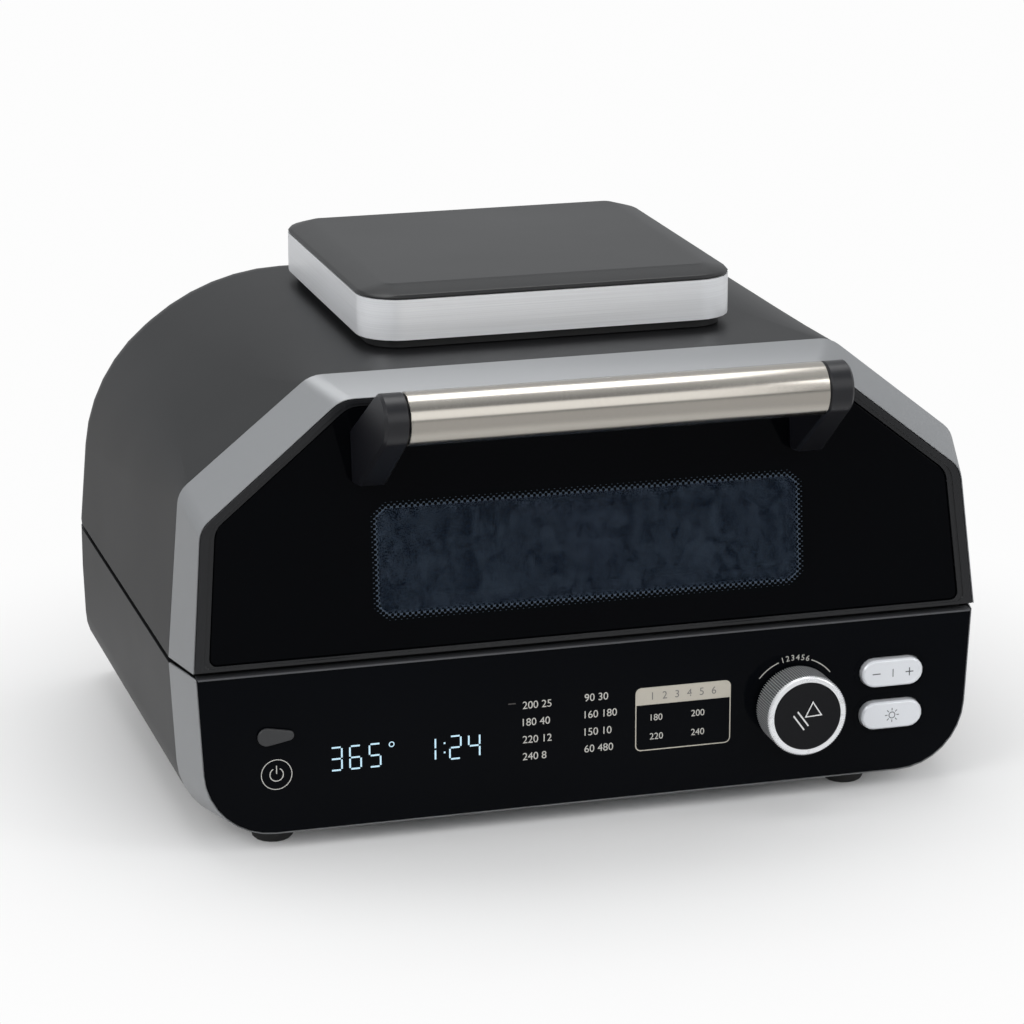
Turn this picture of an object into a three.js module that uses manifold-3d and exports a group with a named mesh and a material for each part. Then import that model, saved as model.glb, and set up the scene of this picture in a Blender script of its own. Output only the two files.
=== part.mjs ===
// Indoor grill and air fryer: a low base with a control panel, and a deep lid hinged at the back.
// Lengths are in millimetres. X runs right, Y runs to the back and Z up, with the floor at Z = 0.
// Each piece is drawn with Y = 0 at the control panel; the last group centres the whole object.

import * as THREE from 'three';
import { mergeVertices } from 'three/addons/utils/BufferGeometryUtils.js';
import Module from 'manifold-3d';

// Overall sizes
const bodyWidth = 430;
const bodyDepth = 314;
const baseHeight = 90;
const lidHeight = 141.4;
const footHeight = 7;
const seamGap = 3;
const clearance = 0.3;
const slideClearance = 0.45;
const overrun = 6;
const arcSteps = 4;
const cornerSteps = 6;
const panelSteps = 8;

// Casing outline: upright base sides, and a lid with sloping shoulders under a flat roof
const casingWall = 3;
const baseLean = 4.5;
const baseCornerRadius = 38;
const baseRearRadius = 22;
const rearCornerRadius = 36;
const shoulderDrop = 54.9;
const shoulderLean = 7.5;
const shoulderRadius = 14;
const rearShoulderRadius = 96;
const roofWidth = 277;
const roofRadius = 18;
const rearRoofRadius = 120;

// Front faces: the lid's face leans back, the panel is upright, and metal trims flare out behind both
const faceLeanShare = 0.108;
const trimRearLeanShare = 0.031;
const trimDepth = 31;
const trimWall = 1.8;
const trimEdge = 0.6;
const trimSideWidth = 6.2;
const baseSideWidth = 7.4;
const trimSlantWidth = 13;
const trimRoofWidth = 8;
const trimBottomWidth = 2.6;
const frontShoulderRadius = 14;
const frontRoofRadius = 18;
const panelCornerRadius = 37;
const panelThickness = 3;
const railHeight = 1;
const railProud = 1.2;
const railDepth = 6;

// Lid face: a stepped bezel round one sheet of black glass
const bezelSideWidth = 7.2;
const bezelSlantWidth = 5;
const bezelRoofWidth = 3.5;
const bezelBottomWidth = 2.4;
const bezelDepth = 9;
const bezelStep = 0.8;
const bezelRimShare = 0.62;
const bezelLedgeWidth = 6;
const bezelLedgeThickness = 2;
const glassRadius = 11;
const glassFootRadius = 4;
const glassRecess = 0.6;
const glassThickness = 4;
const windowInset = 104;
const windowHeadroom = 28;
const windowSill = 20;
const windowRadius = 9;
const windowMargin = 4;
const shroudWall = 1.5;
const paneThickness = 3.5;

// Handle: a steel tube between two moulded brackets
const handleRadius = 13.5;
const handleWall = 1.5;
const handleReach = 49;
const handleDrop = 11.8;
const handleLength = 215.8;
const bracketWidth = 13;
const bracketFlareShare = 0.23;
const bracketFootLowDrop = 50.4;
const bracketFootHighDrop = 22.9;
const bracketToe = 9;
const bracketEdge = 1.4;
const tubeInsert = 8;

// Top box: black plinth, brushed band and chamfered cap
const topWidth = 201.4;
const topRearGap = 48;
const topFront = 70.6;
const topRadius = 22;
const plinthHeight = 6;
const plinthInset = 5;
const plinthFlange = 2;
const bandHeight = 21.2;
const bandWall = 1.6;
const capLip = 2.2;
const capRise = 5.6;
const capChamfer = 14;
const capFlatRadius = 5;
const capWall = 2.5;
const ductRadius = 58;

// Hot chamber in the lid
const linerSpread = 8;
const linerSideDraft = 2;
const linerRearDraft = 2;
const linerHeadroom = 55.4;
const linerRadius = 12;
const linerWall = 1;
const flangeThickness = 1.2;
const sealWidth = 7;
const sealGapWidth = 2;

// Fan, motor and heater
const fanShare = 0.477;
const fanBladeHeight = 18;
const fanBladeThickness = 1.2;
const fanBladeCount = 8;
const fanBladeLean = Math.PI / 7;
const fanDisc = 1.5;
const fanHubRadius = 10;
const fanDrop = 7;
const shaftRadius = 4;
const shaftNutRadius = 6;
const coolingRadius = 46;
const coolingHeight = 9;
const coolingBladeCount = 7;
const coolingBladeLean = Math.PI / 6;
const motorRadius = 30;
const motorHeight = 26;
const motorCupRadius = 13;
const motorCupHeight = 5;
const bridgeHeight = 12;
const bridgeLength = 116;
const bridgeWidth = 34;
const bridgeThickness = 1.6;
const heaterShare = 0.71;
const heaterInnerShare = 0.6;
const heaterTube = 3.2;
const heaterDrop = 20;
const heaterTurns = 1.92;
const heaterTail = 9;
const heaterSteps = 32;
const guardShare = 0.81;
const guardDrop = 36;
const guardThickness = 1.2;
const guardRim = 5;
const guardSlotWidth = 6;
const guardSlotCount = 8;
const guardPostRadius = 2.5;
const guardPostCount = 3;
const lampRadius = 13;
const lampDrop = 6;
const lampInset = 54;
const lampSetback = 28;
const lampHolderHeight = 22;
const sensorRadius = 2.5;
const sensorLength = 38;

// Cooking pot, grill plate and the tub that holds them
const tubInset = 59;
const tubFront = 44;
const tubRearGap = 26;
const tubTaper = 6;
const tubRadius = 28;
const tubWall = 1.2;
const tubFloor = 15;
const tubFlangeWidth = 18;
const potGap = 5.5;
const potTaper = 5;
const potWall = 2;
const potFloor = 19.5;
const potRimWidth = 7.5;
const potRimHeight = 2;
const plateGap = 1.6;
const plateThickness = 3.2;
const plateLegHeight = 7;
const plateLegRadius = 5;
const ridgeHeight = 5;
const ridgePitch = 18.5;
const ridgeWidth = 7;
const ridgeTopWidth = 4;
const drainWidth = 5;
const drainLength = 38;
const deckThickness = 2;
const deckStep = 3.5;
const deckLipWall = 1.6;
const deckLipHeight = 5.2;
const deckLipSetback = 6;

// Controls
const dialInset = 105.5;
const dialRadius = 21.7;
const dialDepth = 20;
const dialGap = 2.2;
const dialCapRadius = 18.7;
const dialCapThickness = 3;
const dialDish = 0.8;
const dialBevel = 1.2;
const knurlCount = 26;
const knurlDepth = 0.8;
const dialWall = 2.4;
const spindleRadius = 3;
const spindleFlat = 0.8;
const dialHubRadius = 6.2;
const dialTravel = 1.2;
const buttonInset = 52.3;
const upperButtonShare = 0.351;
const lowerButtonShare = 0.61;
const buttonWidth = 34;
const buttonHeight = 15;
const buttonProud = 4;
const buttonBevel = 1;
const buttonTravel = 1.2;
const buttonFlange = 2;
const stemRadius = 2.5;
const coverInset = 42.7;
const coverDrop = 34.8;
const coverRadius = 4.8;
const coverTipRadius = 2.7;
const coverLength = 11.4;
const coverThickness = 1.8;
const coverPinRadius = 1.2;
const jackRadius = 3.2;
const jackBore = 1.9;

// Electronics behind the panel and beside the tub
const boardThickness = 1.6;
const boardStandoff = 11;
const boardInset = 27;
const boardHeadroom = 28;
const boardRise = 20;
const bossRadius = 3.2;
const displayInset = 115;
const displayWidth = 92;
const displayHeight = 24;
const displayRise = 40;
const encoderWidth = 15;
const switchWidth = 8;
const switchDepth = 4.3;
const powerBoardWidth = 22;
const powerBoardFront = 55;
const powerBoardRearGap = 69;
const powerBoardStandoff = 5;

// Feet, hinges, vents and cord outlet
const footRadius = 12;
const footTaper = 1.5;
const footEdge = 1.2;
const frontFootLeftInset = 50;
const frontFootRightInset = 69;
const frontFootY = 23;
const rearFootInset = 65;
const rearFootGap = 29;
const hingeOffset = 7;
const hingeRadius = 6.5;
const hingeInset = 95;
const knuckleLength = 30;
const earThickness = 5;
const hingePlate = 3;
const hingePlateShare = 0.51;
const hingePlateTop = 9;
const hingeGusset = 24;
const armPlateHeight = 44;
const pinRadius = 2.5;
const pinHead = 1.5;
const pinHeadRadius = 4;
const ventWidth = 140;
const ventHeight = 40;
const ventDrop = 85.4;
const ventFrame = 4;
const ventSlatCount = 9;
const ventSlatThickness = 1.6;
const ventDepth = 6;
const ventRadius = 4;
const floorSlotCount = 9;
const floorSlotWidth = 3;
const floorSlotLength = 46;
const floorSlotPitch = 14;
const glandInset = 60;
const glandShare = 0.37;
const glandRadius = 8;
const glandBore = 3.8;
const glandLength = 12;
const glandCollar = 11;

// Places and sizes that follow the casing
const halfWidth = bodyWidth / 2;
const shoulderHeight = lidHeight - shoulderDrop;
const handleRise = lidHeight - handleDrop;
const bracketFootLow = lidHeight - bracketFootLowDrop;
const bracketFootHigh = lidHeight - bracketFootHighDrop;
const ventRise = lidHeight - ventDrop;
const topDepth = bodyDepth - topFront - topRearGap;
const tubWidth = bodyWidth - 2 * tubInset;
const tubDepth = bodyDepth - tubFront - tubRearGap;
const ovenCentreY = tubFront + tubDepth / 2;
const linerWidth = tubWidth + 2 * linerSpread;
const linerDepth = tubDepth + 2 * linerSpread;
const linerTopWidth = linerWidth - 2 * linerSideDraft;
const linerTopDepth = linerDepth - linerRearDraft;
const linerHeight = lidHeight - linerHeadroom;
const windowWidth = bodyWidth - 2 * windowInset;
const windowHeight = linerHeight - windowHeadroom;
const chamberRadius = linerDepth / 2;
const guardRadius = chamberRadius * guardShare;
const heaterRadius = chamberRadius * heaterShare;
const heaterInnerRadius = chamberRadius * heaterInnerShare;
const fanRadius = chamberRadius * fanShare;
const lampX = linerTopWidth / 2 - lampInset;
const lampY = tubFront + lampSetback;
const dialX = halfWidth - dialInset;
const dialDrop = baseHeight / 2;
const buttonX = halfWidth - buttonInset;
const upperButtonDrop = baseHeight * upperButtonShare;
const lowerButtonDrop = baseHeight * lowerButtonShare;
const coverX = coverInset - halfWidth;
const boardWidth = bodyWidth - 2 * boardInset;
const boardHeight = baseHeight - boardHeadroom;
const displayX = displayInset - halfWidth;
const displayDrop = baseHeight - displayRise;
const powerBoardDepth = bodyDepth - powerBoardFront - powerBoardRearGap;
const powerBoardY = powerBoardFront + powerBoardDepth / 2;
const frontFootLeftX = frontFootLeftInset - halfWidth;
const frontFootRightX = halfWidth - frontFootRightInset;
const rearFootX = halfWidth - rearFootInset;
const rearFootY = bodyDepth - rearFootGap;
const hingeX = halfWidth - hingeInset;
const hingePlateDrop = baseHeight * hingePlateShare;
const glandX = halfWidth - glandInset;
const glandZ = footHeight + baseHeight * glandShare;

// Levels and places that follow from the sizes above
const seamZ = footHeight + baseHeight;
const lidBottom = seamZ + seamGap / 2;
const baseTop = seamZ - seamGap / 2;
const roofZ = seamZ + lidHeight;
const panelTop = baseTop - railHeight - clearance;
const deckTop = baseTop - deckStep;
const tubRimTop = deckTop + clearance + flangeThickness;
const linerTop = lidBottom + linerHeight;
const hingeY = bodyDepth + hingeOffset;
const topCentreY = topFront + topDepth / 2;
const faceLean = Math.atan(faceLeanShare);
const trimOpening = trimEdge + clearance;
const windowBottom = seamZ + windowSill;
const linerFront = ovenCentreY - linerDepth / 2 - linerWall;
const handleFront = handleRise * Math.sin(faceLean) - handleReach * Math.cos(faceLean) - handleRadius;

// Solids: joining and cutting

const wasm = await Module();
wasm.setup();

// Shared corners are merged, slivers with no area dropped, and the faces turned to point outwards.
function closed(geometry) {
  const bare = new THREE.BufferGeometry();
  bare.setAttribute('position', geometry.getAttribute('position').clone());
  bare.setIndex(geometry.index);
  const merged = mergeVertices(bare);
  const place = (index) => new THREE.Vector3().fromBufferAttribute(merged.attributes.position, index);
  const faces = [];
  let volume = 0;
  for (let i = 0; i < merged.index.count; i += 3) {
    const [a, b, c] = [0, 1, 2].map((k) => merged.index.getX(i + k));
    if (a !== b && b !== c && c !== a) {
      faces.push([a, b, c]);
      volume += place(a).dot(place(b).cross(place(c)));
    }
  }
  merged.setIndex(faces.flatMap(([a, b, c]) => (volume < 0 ? [a, c, b] : [a, b, c])));
  return merged;
}

function toSolid(geometry) {
  const mesh = closed(geometry);
  return new wasm.Manifold(new wasm.Mesh({
    numProp: 3,
    vertProperties: new Float32Array(mesh.attributes.position.array),
    triVerts: new Uint32Array(mesh.index.array),
  }));
}

function toGeometry(solid) {
  const mesh = solid.getMesh();
  const geometry = new THREE.BufferGeometry();
  geometry.setAttribute('position', new THREE.BufferAttribute(mesh.vertProperties, 3));
  geometry.setIndex(new THREE.BufferAttribute(mesh.triVerts, 1));
  return geometry;
}

function join(...geometries) {
  return toGeometry(geometries.map(toSolid).reduce((whole, next) => whole.add(next)));
}

function cut(body, ...tools) {
  return toGeometry(tools.map(toSolid).reduce((whole, tool) => whole.subtract(tool), toSolid(body)));
}

function common(...geometries) {
  return toGeometry(geometries.map(toSolid).reduce((whole, next) => whole.intersect(next)));
}

// Outlines: lists of points [across, up]

function arc(centre, radius, from, to, steps = arcSteps) {
  const points = [];
  for (let i = 0; i <= steps; i += 1) {
    const angle = from + ((to - from) * i) / steps;
    points.push([centre[0] + radius * Math.cos(angle), centre[1] + radius * Math.sin(angle)]);
  }
  return points;
}

function circle(radius, sides, centre = [0, 0]) {
  return arc(centre, radius, 0, 2 * Math.PI, sides).slice(0, sides);
}

// Each edge of an outline drawn anticlockwise moves inwards by its own distance.
function insetCorners(corners, distances) {
  const lines = corners.map((start, i) => {
    const end = corners[(i + 1) % corners.length];
    const length = Math.hypot(end[0] - start[0], end[1] - start[1]);
    const along = [(end[0] - start[0]) / length, (end[1] - start[1]) / length];
    const point = [start[0] - along[1] * distances[i], start[1] + along[0] * distances[i]];
    return { point, along };
  });
  return lines.map((line, i) => {
    const before = lines[(i + lines.length - 1) % lines.length];
    const gap = [line.point[0] - before.point[0], line.point[1] - before.point[1]];
    const turn = before.along[0] * line.along[1] - before.along[1] * line.along[0];
    const reach = (gap[0] * line.along[1] - gap[1] * line.along[0]) / turn;
    return [before.point[0] + before.along[0] * reach, before.point[1] + before.along[1] * reach];
  });
}

// A corner with a radius becomes an arc that touches both its edges; one without stays a point.
function rounded(corners, radii, steps = arcSteps) {
  return corners.flatMap((corner, i) => {
    if (radii[i] === 0) {
      return [corner];
    }
    const before = corners[(i + corners.length - 1) % corners.length];
    const after = corners[(i + 1) % corners.length];
    const back = Math.atan2(before[1] - corner[1], before[0] - corner[0]);
    const ahead = Math.atan2(after[1] - corner[1], after[0] - corner[0]);
    const opening = ((back - ahead) % (2 * Math.PI) + 2 * Math.PI) % (2 * Math.PI);
    const reach = radii[i] / Math.sin(opening / 2);
    const middle = ahead + opening / 2;
    const centre = [corner[0] + reach * Math.cos(middle), corner[1] + reach * Math.sin(middle)];
    const sweep = Math.PI - opening;
    const from = middle + Math.PI - sweep / 2;
    return arc(centre, radii[i], from, from + sweep, steps);
  });
}

function roundedBox(width, depth, radius, centreY = 0, steps = arcSteps) {
  const [x, y] = [width / 2, depth / 2];
  const corners = [[-x, centreY - y], [x, centreY - y], [x, centreY + y], [-x, centreY + y]];
  return rounded(corners, [radius, radius, radius, radius], steps);
}

// The lid seen from the front, from the right foot of the arch over to the left one
function lidOutline(side, slant, roof, bottom, lowerRadius, upperRadius, steps = arcSteps, foot = 0) {
  const [x, shoulderX, roofX] = [bodyWidth / 2, bodyWidth / 2 - shoulderLean, roofWidth / 2];
  const shoulderZ = seamZ + shoulderHeight;
  const right = [[x, lidBottom], [shoulderX, shoulderZ], [roofX, roofZ]];
  const left = right.map(([a, b]) => [-a, b]).reverse();
  const corners = insetCorners([...right, ...left], [side, slant, roof, slant, side, bottom]);
  return rounded(corners, [foot, lowerRadius, upperRadius, upperRadius, lowerRadius, foot], steps);
}

// The base seen from the front, from the left end of the seam down and round to the right one
function baseOutline(side, bottom, top, radius) {
  const [x, floorX] = [bodyWidth / 2, bodyWidth / 2 - baseLean];
  const corners = [[-x, baseTop], [-floorX, footHeight], [floorX, footHeight], [x, baseTop]];
  return rounded(insetCorners(corners, [side, bottom, side, top]), [0, radius, radius, 0], panelSteps);
}

// The casing seen from above, inset all round from the outer face
function casingPlan(inset) {
  const [x, rear] = [bodyWidth / 2 - inset, bodyDepth - inset];
  const radius = rearCornerRadius - inset;
  return rounded([[-x, 0], [x, 0], [x, rear], [-x, rear]], [0, 0, radius, radius], cornerSteps);
}

// Solids from outlines

function shapeOf(points, holes = []) {
  const shape = new THREE.Shape(points.map(([a, b]) => new THREE.Vector2(a, b)));
  shape.holes = holes.map((hole) => new THREE.Path(hole.map(([a, b]) => new THREE.Vector2(a, b))));
  return shape;
}

function extrudeUp(points, from, to, holes = []) {
  const options = { depth: to - from, bevelEnabled: false };
  return new THREE.ExtrudeGeometry(shapeOf(points, holes), options).translate(0, 0, from);
}

// A front outline (x, z) run from one depth to another
function extrudeBack(points, from, to, holes = []) {
  const geometry = extrudeUp(points, 0, to - from, holes);
  return geometry.rotateX(Math.PI / 2).translate(0, to, 0);
}

// Turns what is drawn in (y, z) and run along z so that it runs across in x
const acrossTurn = new THREE.Matrix4().makeBasis(
  new THREE.Vector3(0, 1, 0),
  new THREE.Vector3(0, 0, 1),
  new THREE.Vector3(1, 0, 0),
);

// A side outline (y, z) run across in x
function extrudeAcross(points, from, to) {
  return extrudeUp(points, from, to).applyMatrix4(acrossTurn);
}

// An outline with a rounded or chamfered edge on both faces
function bevelled(points, from, to, bevel, segments = 2) {
  const shape = shapeOf(points);
  const options = {
    depth: to - from - 2 * bevel,
    bevelThickness: bevel,
    bevelSize: bevel,
    bevelOffset: -bevel,
    bevelSegments: segments,
  };
  return new THREE.ExtrudeGeometry(shape, options).translate(0, 0, from + bevel);
}

// Sections with the same number of points are joined in turn, and both ends are closed.
function loft(sections) {
  const count = sections[0].length;
  const ends = [sections[0], sections[sections.length - 1]];
  const index = [];
  for (let i = 0; i < sections.length - 1; i += 1) {
    for (let j = 0; j < count; j += 1) {
      const [a, b] = [i * count + j, i * count + ((j + 1) % count)];
      index.push(a, b, b + count, a, b + count, a + count);
    }
  }
  ends.forEach((section, side) => {
    const centre = section.reduce((sum, point) => sum.add(point), new THREE.Vector3());
    centre.divideScalar(count);
    const normal = new THREE.Vector3();
    section.forEach((point, j) => {
      const [p, q] = [point.clone().sub(centre), section[(j + 1) % count].clone().sub(centre)];
      normal.add(p.cross(q));
    });
    const across = section[1].clone().sub(section[0]).normalize();
    const up = normal.normalize().clone().cross(across);
    const flat = section.map((point) => new THREE.Vector2(point.dot(across), point.dot(up)));
    const start = side === 0 ? 0 : (sections.length - 1) * count;
    THREE.ShapeUtils.triangulateShape(flat, []).forEach(([a, b, c]) => {
      const face = side === 0 ? [a, c, b] : [a, b, c];
      index.push(...face.map((k) => k + start));
    });
  });
  const geometry = new THREE.BufferGeometry();
  const places = sections.flat().flatMap((point) => [point.x, point.y, point.z]);
  geometry.setAttribute('position', new THREE.Float32BufferAttribute(places, 3));
  geometry.setIndex(index);
  return geometry;
}

// Level outlines stacked one above the other: [points, height] pairs
function stack(levels) {
  return loft(levels.map(([points, z]) => points.map(([x, y]) => new THREE.Vector3(x, y, z))));
}

// A profile of [radius, height] points turned about the Y axis, then laid along the axis it is for
function turned(profile, sides, axis = 'y') {
  const points = profile.map(([radius, height]) => new THREE.Vector2(radius, height));
  const geometry = new THREE.LatheGeometry(points, sides);
  if (axis === 'z') {
    geometry.rotateX(Math.PI / 2);
  }
  if (axis === 'x') {
    geometry.rotateZ(-Math.PI / 2);
  }
  return geometry;
}

function rod(radius, from, to, sides, axis) {
  return turned([[0, from], [radius, from], [radius, to], [0, to]], sides, axis);
}

function box(low, high) {
  const size = high.map((value, i) => value - low[i]);
  const middle = high.map((value, i) => (value + low[i]) / 2);
  return new THREE.BoxGeometry(...size).translate(...middle);
}

// Casing

// Behind the trim the lid's corners open out into an arch, and its rear edge is rounded all the way over.
const archShares = [[0, 0], [0.1, 0.22], [0.3, 0.52], [0.6, 0.8], [1, 1]];

function hood(inset, steps) {
  const front = inset === 0 ? 0 : overrun;
  const bottom = inset === 0 ? 0 : -overrun;
  const [low, high] = [lidBottom, roofZ - inset];
  const rearStart = bodyDepth - rearCornerRadius;
  const section = (y, open, depth) => {
    const lower = shoulderRadius + (rearShoulderRadius - shoulderRadius) * open - depth;
    const upper = roofRadius + (rearRoofRadius - roofRadius) * open - depth;
    const outline = lidOutline(depth, depth, depth, bottom, lower, upper, steps);
    return outline.map(([x, z]) => new THREE.Vector3(x, y, z));
  };
  const arch = archShares.map(([along, open]) => {
    return section(trimDepth + (rearStart - trimDepth) * along, open, inset);
  });
  const turn = rearCornerRadius - inset;
  const rear = Array.from({ length: steps }, (_, i) => {
    const angle = (Math.PI * (i + 1)) / (2 * steps);
    return section(rearStart + turn * Math.sin(angle), 1, rearCornerRadius - turn * Math.cos(angle));
  });
  const rearY = (z) => trimDepth + clearance + trimRearLeanShare * (z - seamZ) - front;
  const foot = low + bottom;
  const side = [[rearY(low), foot], [bodyDepth, foot], [bodyDepth, high], [rearY(high), high]];
  const whole = loft([section(0, 0, inset), ...arch, ...rear]);
  return common(whole, extrudeAcross(side, -bodyWidth, bodyWidth));
}

function ventOutline(inset) {
  const outline = roundedBox(ventWidth - 2 * inset, ventHeight - 2 * inset, ventRadius);
  return outline.map(([x, z]) => [x, z + seamZ + ventRise + ventHeight / 2]);
}

function lidShell() {
  const duct = extrudeUp(circle(ductRadius, 20, [0, ovenCentreY]), linerTop, roofZ + overrun);
  const vent = extrudeBack(ventOutline(-clearance), bodyDepth - 2 * casingWall, bodyDepth + overrun);
  return cut(hood(0, cornerSteps), hood(casingWall, arcSteps - 1), duct, vent);
}

function rearVent() {
  const inner = ventOutline(ventFrame);
  const frame = extrudeBack(ventOutline(0), bodyDepth - ventDepth, bodyDepth, [inner]);
  const [low, high] = [seamZ + ventRise + ventFrame, seamZ + ventRise + ventHeight - ventFrame];
  const pitch = (ventWidth - 2 * ventFrame) / (ventSlatCount + 1);
  const slats = Array.from({ length: ventSlatCount }, (_, i) => {
    const x = (i + 1 - (ventSlatCount + 1) / 2) * pitch;
    const half = ventSlatThickness / 2;
    return box([x - half, bodyDepth - ventDepth, low - half], [x + half, bodyDepth - half, high + half]);
  });
  return join(frame, ...slats);
}

function tray(inset) {
  const front = inset === 0 ? 0 : overrun;
  const top = inset === 0 ? 0 : -overrun;
  const [frontY, rear] = [trimDepth + clearance - front, bodyDepth - inset];
  const [low, high] = [footHeight + inset, baseTop - top];
  const side = [[frontY, low], [rear, low], [rear, high], [frontY, high]];
  return common(
    extrudeBack(baseOutline(inset, inset, top, baseCornerRadius - inset), 0, bodyDepth),
    extrudeUp(casingPlan(inset), low, high),
    extrudeAcross(rounded(side, [0, baseRearRadius - inset, 0, 0]), -bodyWidth, bodyWidth),
  );
}

function baseShell() {
  const slots = Array.from({ length: floorSlotCount }, (_, i) => {
    const x = (i - (floorSlotCount - 1) / 2) * floorSlotPitch;
    const [y, low] = [ovenCentreY - floorSlotLength / 2, footHeight - overrun];
    return box([x, y, low], [x + floorSlotWidth, y + floorSlotLength, footHeight + overrun]);
  });
  const outlet = rod(glandRadius + clearance, bodyDepth - overrun, bodyDepth + overrun, 20, 'y');
  outlet.translate(glandX, 0, glandZ);
  return cut(tray(0), tray(casingWall), outlet, ...slots);
}

// Trims: a metal band that flares from the front outline out to the casing

function lidTrim() {
  const faceY = (z) => faceLeanShare * (z - seamZ);
  const rearY = (z) => trimDepth + trimRearLeanShare * (z - seamZ);
  const front = (wall) => lidOutline(trimSideWidth + wall, trimSlantWidth + wall, trimRoofWidth + wall,
    0, frontShoulderRadius - wall, frontRoofRadius - wall);
  const rear = (wall) => lidOutline(wall, wall, wall, 0, shoulderRadius - wall, roofRadius - wall);
  const lines = [[front(0), faceY], [rear(0), rearY], [rear(trimWall), rearY], [front(trimEdge), faceY]];
  return bandOf(lines);
}

function baseTrim() {
  const level = (y) => () => y;
  const front = (wall) => baseOutline(baseSideWidth + wall, trimBottomWidth + wall, 0,
    panelCornerRadius - wall);
  const rear = (wall) => baseOutline(wall, wall, 0, baseCornerRadius - wall);
  const lines = [[front(0), level(0)], [rear(0), level(trimDepth)], [rear(trimWall), level(trimDepth)],
    [front(trimEdge), level(0)]];
  return bandOf(lines);
}

function bandOf(lines) {
  const [first] = lines[0];
  return loft(first.map((_, i) => lines.map(([points, depth]) => {
    const [x, z] = points[i];
    return new THREE.Vector3(x, depth(z), z);
  })));
}

// Lid face, drawn flat: x across, y up the face and z out of it

const glassBack = bezelStep + glassRecess + glassThickness + clearance;

// The bezel's outer edge has a share of 0, and the glass opening a share of 1.
function faceOutline(bezelShare, radius, foot = 0) {
  const outline = lidOutline(
    trimSideWidth + trimOpening + bezelSideWidth * bezelShare,
    trimSlantWidth + trimOpening + bezelSlantWidth * bezelShare,
    trimRoofWidth + trimOpening + bezelRoofWidth * bezelShare,
    bezelBottomWidth * bezelShare,
    radius,
    radius + frontRoofRadius - frontShoulderRadius,
    arcSteps,
    foot,
  );
  return outline.map(([x, z]) => [x, (z - seamZ) / Math.cos(faceLean)]);
}

function faceRing(from, to, outer, inner) {
  return extrudeUp(outer, from, to, [inner]);
}

function shrunk(points, distance) {
  return insetCorners(points, points.map(() => distance));
}

function lidBezel() {
  const outer = faceOutline(0, frontShoulderRadius - trimOpening);
  const step = faceOutline(bezelRimShare, glassRadius, glassFootRadius);
  const opening = faceOutline(1, glassRadius, glassFootRadius);
  const ring = cut(faceRing(-bezelDepth, 0, outer, opening), extrudeUp(step, -bezelStep, overrun));
  const seat = shrunk(faceOutline(1, glassRadius), bezelLedgeWidth);
  const ledge = faceRing(-glassBack - bezelLedgeThickness, -glassBack, step, seat);
  return join(ring, ledge);
}

function lidGlass() {
  const top = -bezelStep - glassRecess;
  const outline = shrunk(faceOutline(1, glassRadius, glassFootRadius), clearance);
  return extrudeUp(outline, top - glassThickness, top);
}

function windowOutline(grow) {
  const outline = roundedBox(windowWidth + 2 * grow, windowHeight + 2 * grow, windowRadius + grow);
  return outline.map(([x, z]) => [x, z + windowBottom + windowHeight / 2]);
}

// Everything in front of a plane that leans with the lid's face
function faceSlab(depth) {
  const slope = (z) => (z - seamZ) * faceLeanShare + depth / Math.cos(faceLean);
  const side = [[-bodyDepth, seamZ], [slope(seamZ), seamZ], [slope(roofZ), roofZ], [-bodyDepth, roofZ]];
  return extrudeAcross(side, -bodyWidth, bodyWidth);
}

function windowShroud() {
  const [inner, outer] = [windowOutline(windowMargin), windowOutline(windowMargin + shroudWall)];
  const ring = extrudeBack(outer, 0, linerFront - paneThickness - 2 * clearance, [inner]);
  return cut(ring, faceSlab(glassBack));
}

function innerPane() {
  const rear = linerFront - clearance;
  return extrudeBack(windowOutline(windowMargin + shroudWall), rear - paneThickness, rear);
}

// Handle, in the same flat frame as the lid's face

function handleBracket() {
  const centre = [handleRise, handleReach];
  const seat = -bezelStep - glassRecess + clearance;
  const tangent = ([s, n], side) => {
    const distance = Math.hypot(s - centre[0], n - centre[1]);
    const towards = Math.atan2(n - centre[1], s - centre[0]);
    return towards + side * Math.acos(handleRadius / distance);
  };
  const [toe, low, high] = [[bracketFootLow, bracketToe], [bracketFootLow, seat], [bracketFootHigh, seat]];
  const [from, to] = [tangent(high, 1), tangent(toe, -1) + 2 * Math.PI];
  const outline = [toe, low, high, ...arc(centre, handleRadius, from, to, 14)];
  const body = bevelled(outline, 0, bracketWidth, bracketEdge, 1).applyMatrix4(acrossTurn);
  const place = body.getAttribute('position');
  for (let i = 0; i < place.count; i += 1) {
    const lowShare = Math.max(0, 1 - place.getZ(i) / handleReach);
    place.setX(i, place.getX(i) * (1 + bracketFlareShare * lowShare));
  }
  const spigot = rod(handleRadius - handleWall - clearance, -tubeInsert, bracketWidth / 2, 20, 'x');
  return join(body, spigot.translate(0, centre[0], centre[1]));
}

function handleTube() {
  const half = handleLength / 2 - clearance;
  const inner = handleRadius - handleWall;
  const profile = [[inner, -half], [handleRadius, -half], [handleRadius, half], [inner, half],
    [inner, -half]];
  return turned(profile, 32, 'x').translate(0, handleRise, handleReach);
}

// Top box

function topOutline(inset, radius) {
  return roundedBox(topWidth - 2 * inset, topDepth - 2 * inset, radius, topCentreY, cornerSteps);
}

const plinthTop = roofZ + clearance + plinthHeight;
const bandBottom = plinthTop - plinthFlange / 2;
const bandTop = bandBottom + bandHeight;
const insideBand = bandWall + clearance;

function topPlinth() {
  const duct = circle(ductRadius, 20, [0, ovenCentreY]);
  const block = extrudeUp(topOutline(plinthInset, topRadius - plinthInset), roofZ + clearance,
    plinthTop, [duct]);
  const flange = extrudeUp(topOutline(insideBand, topRadius - insideBand), plinthTop - clearance,
    plinthTop + plinthFlange, [duct]);
  return join(block, flange);
}

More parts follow.
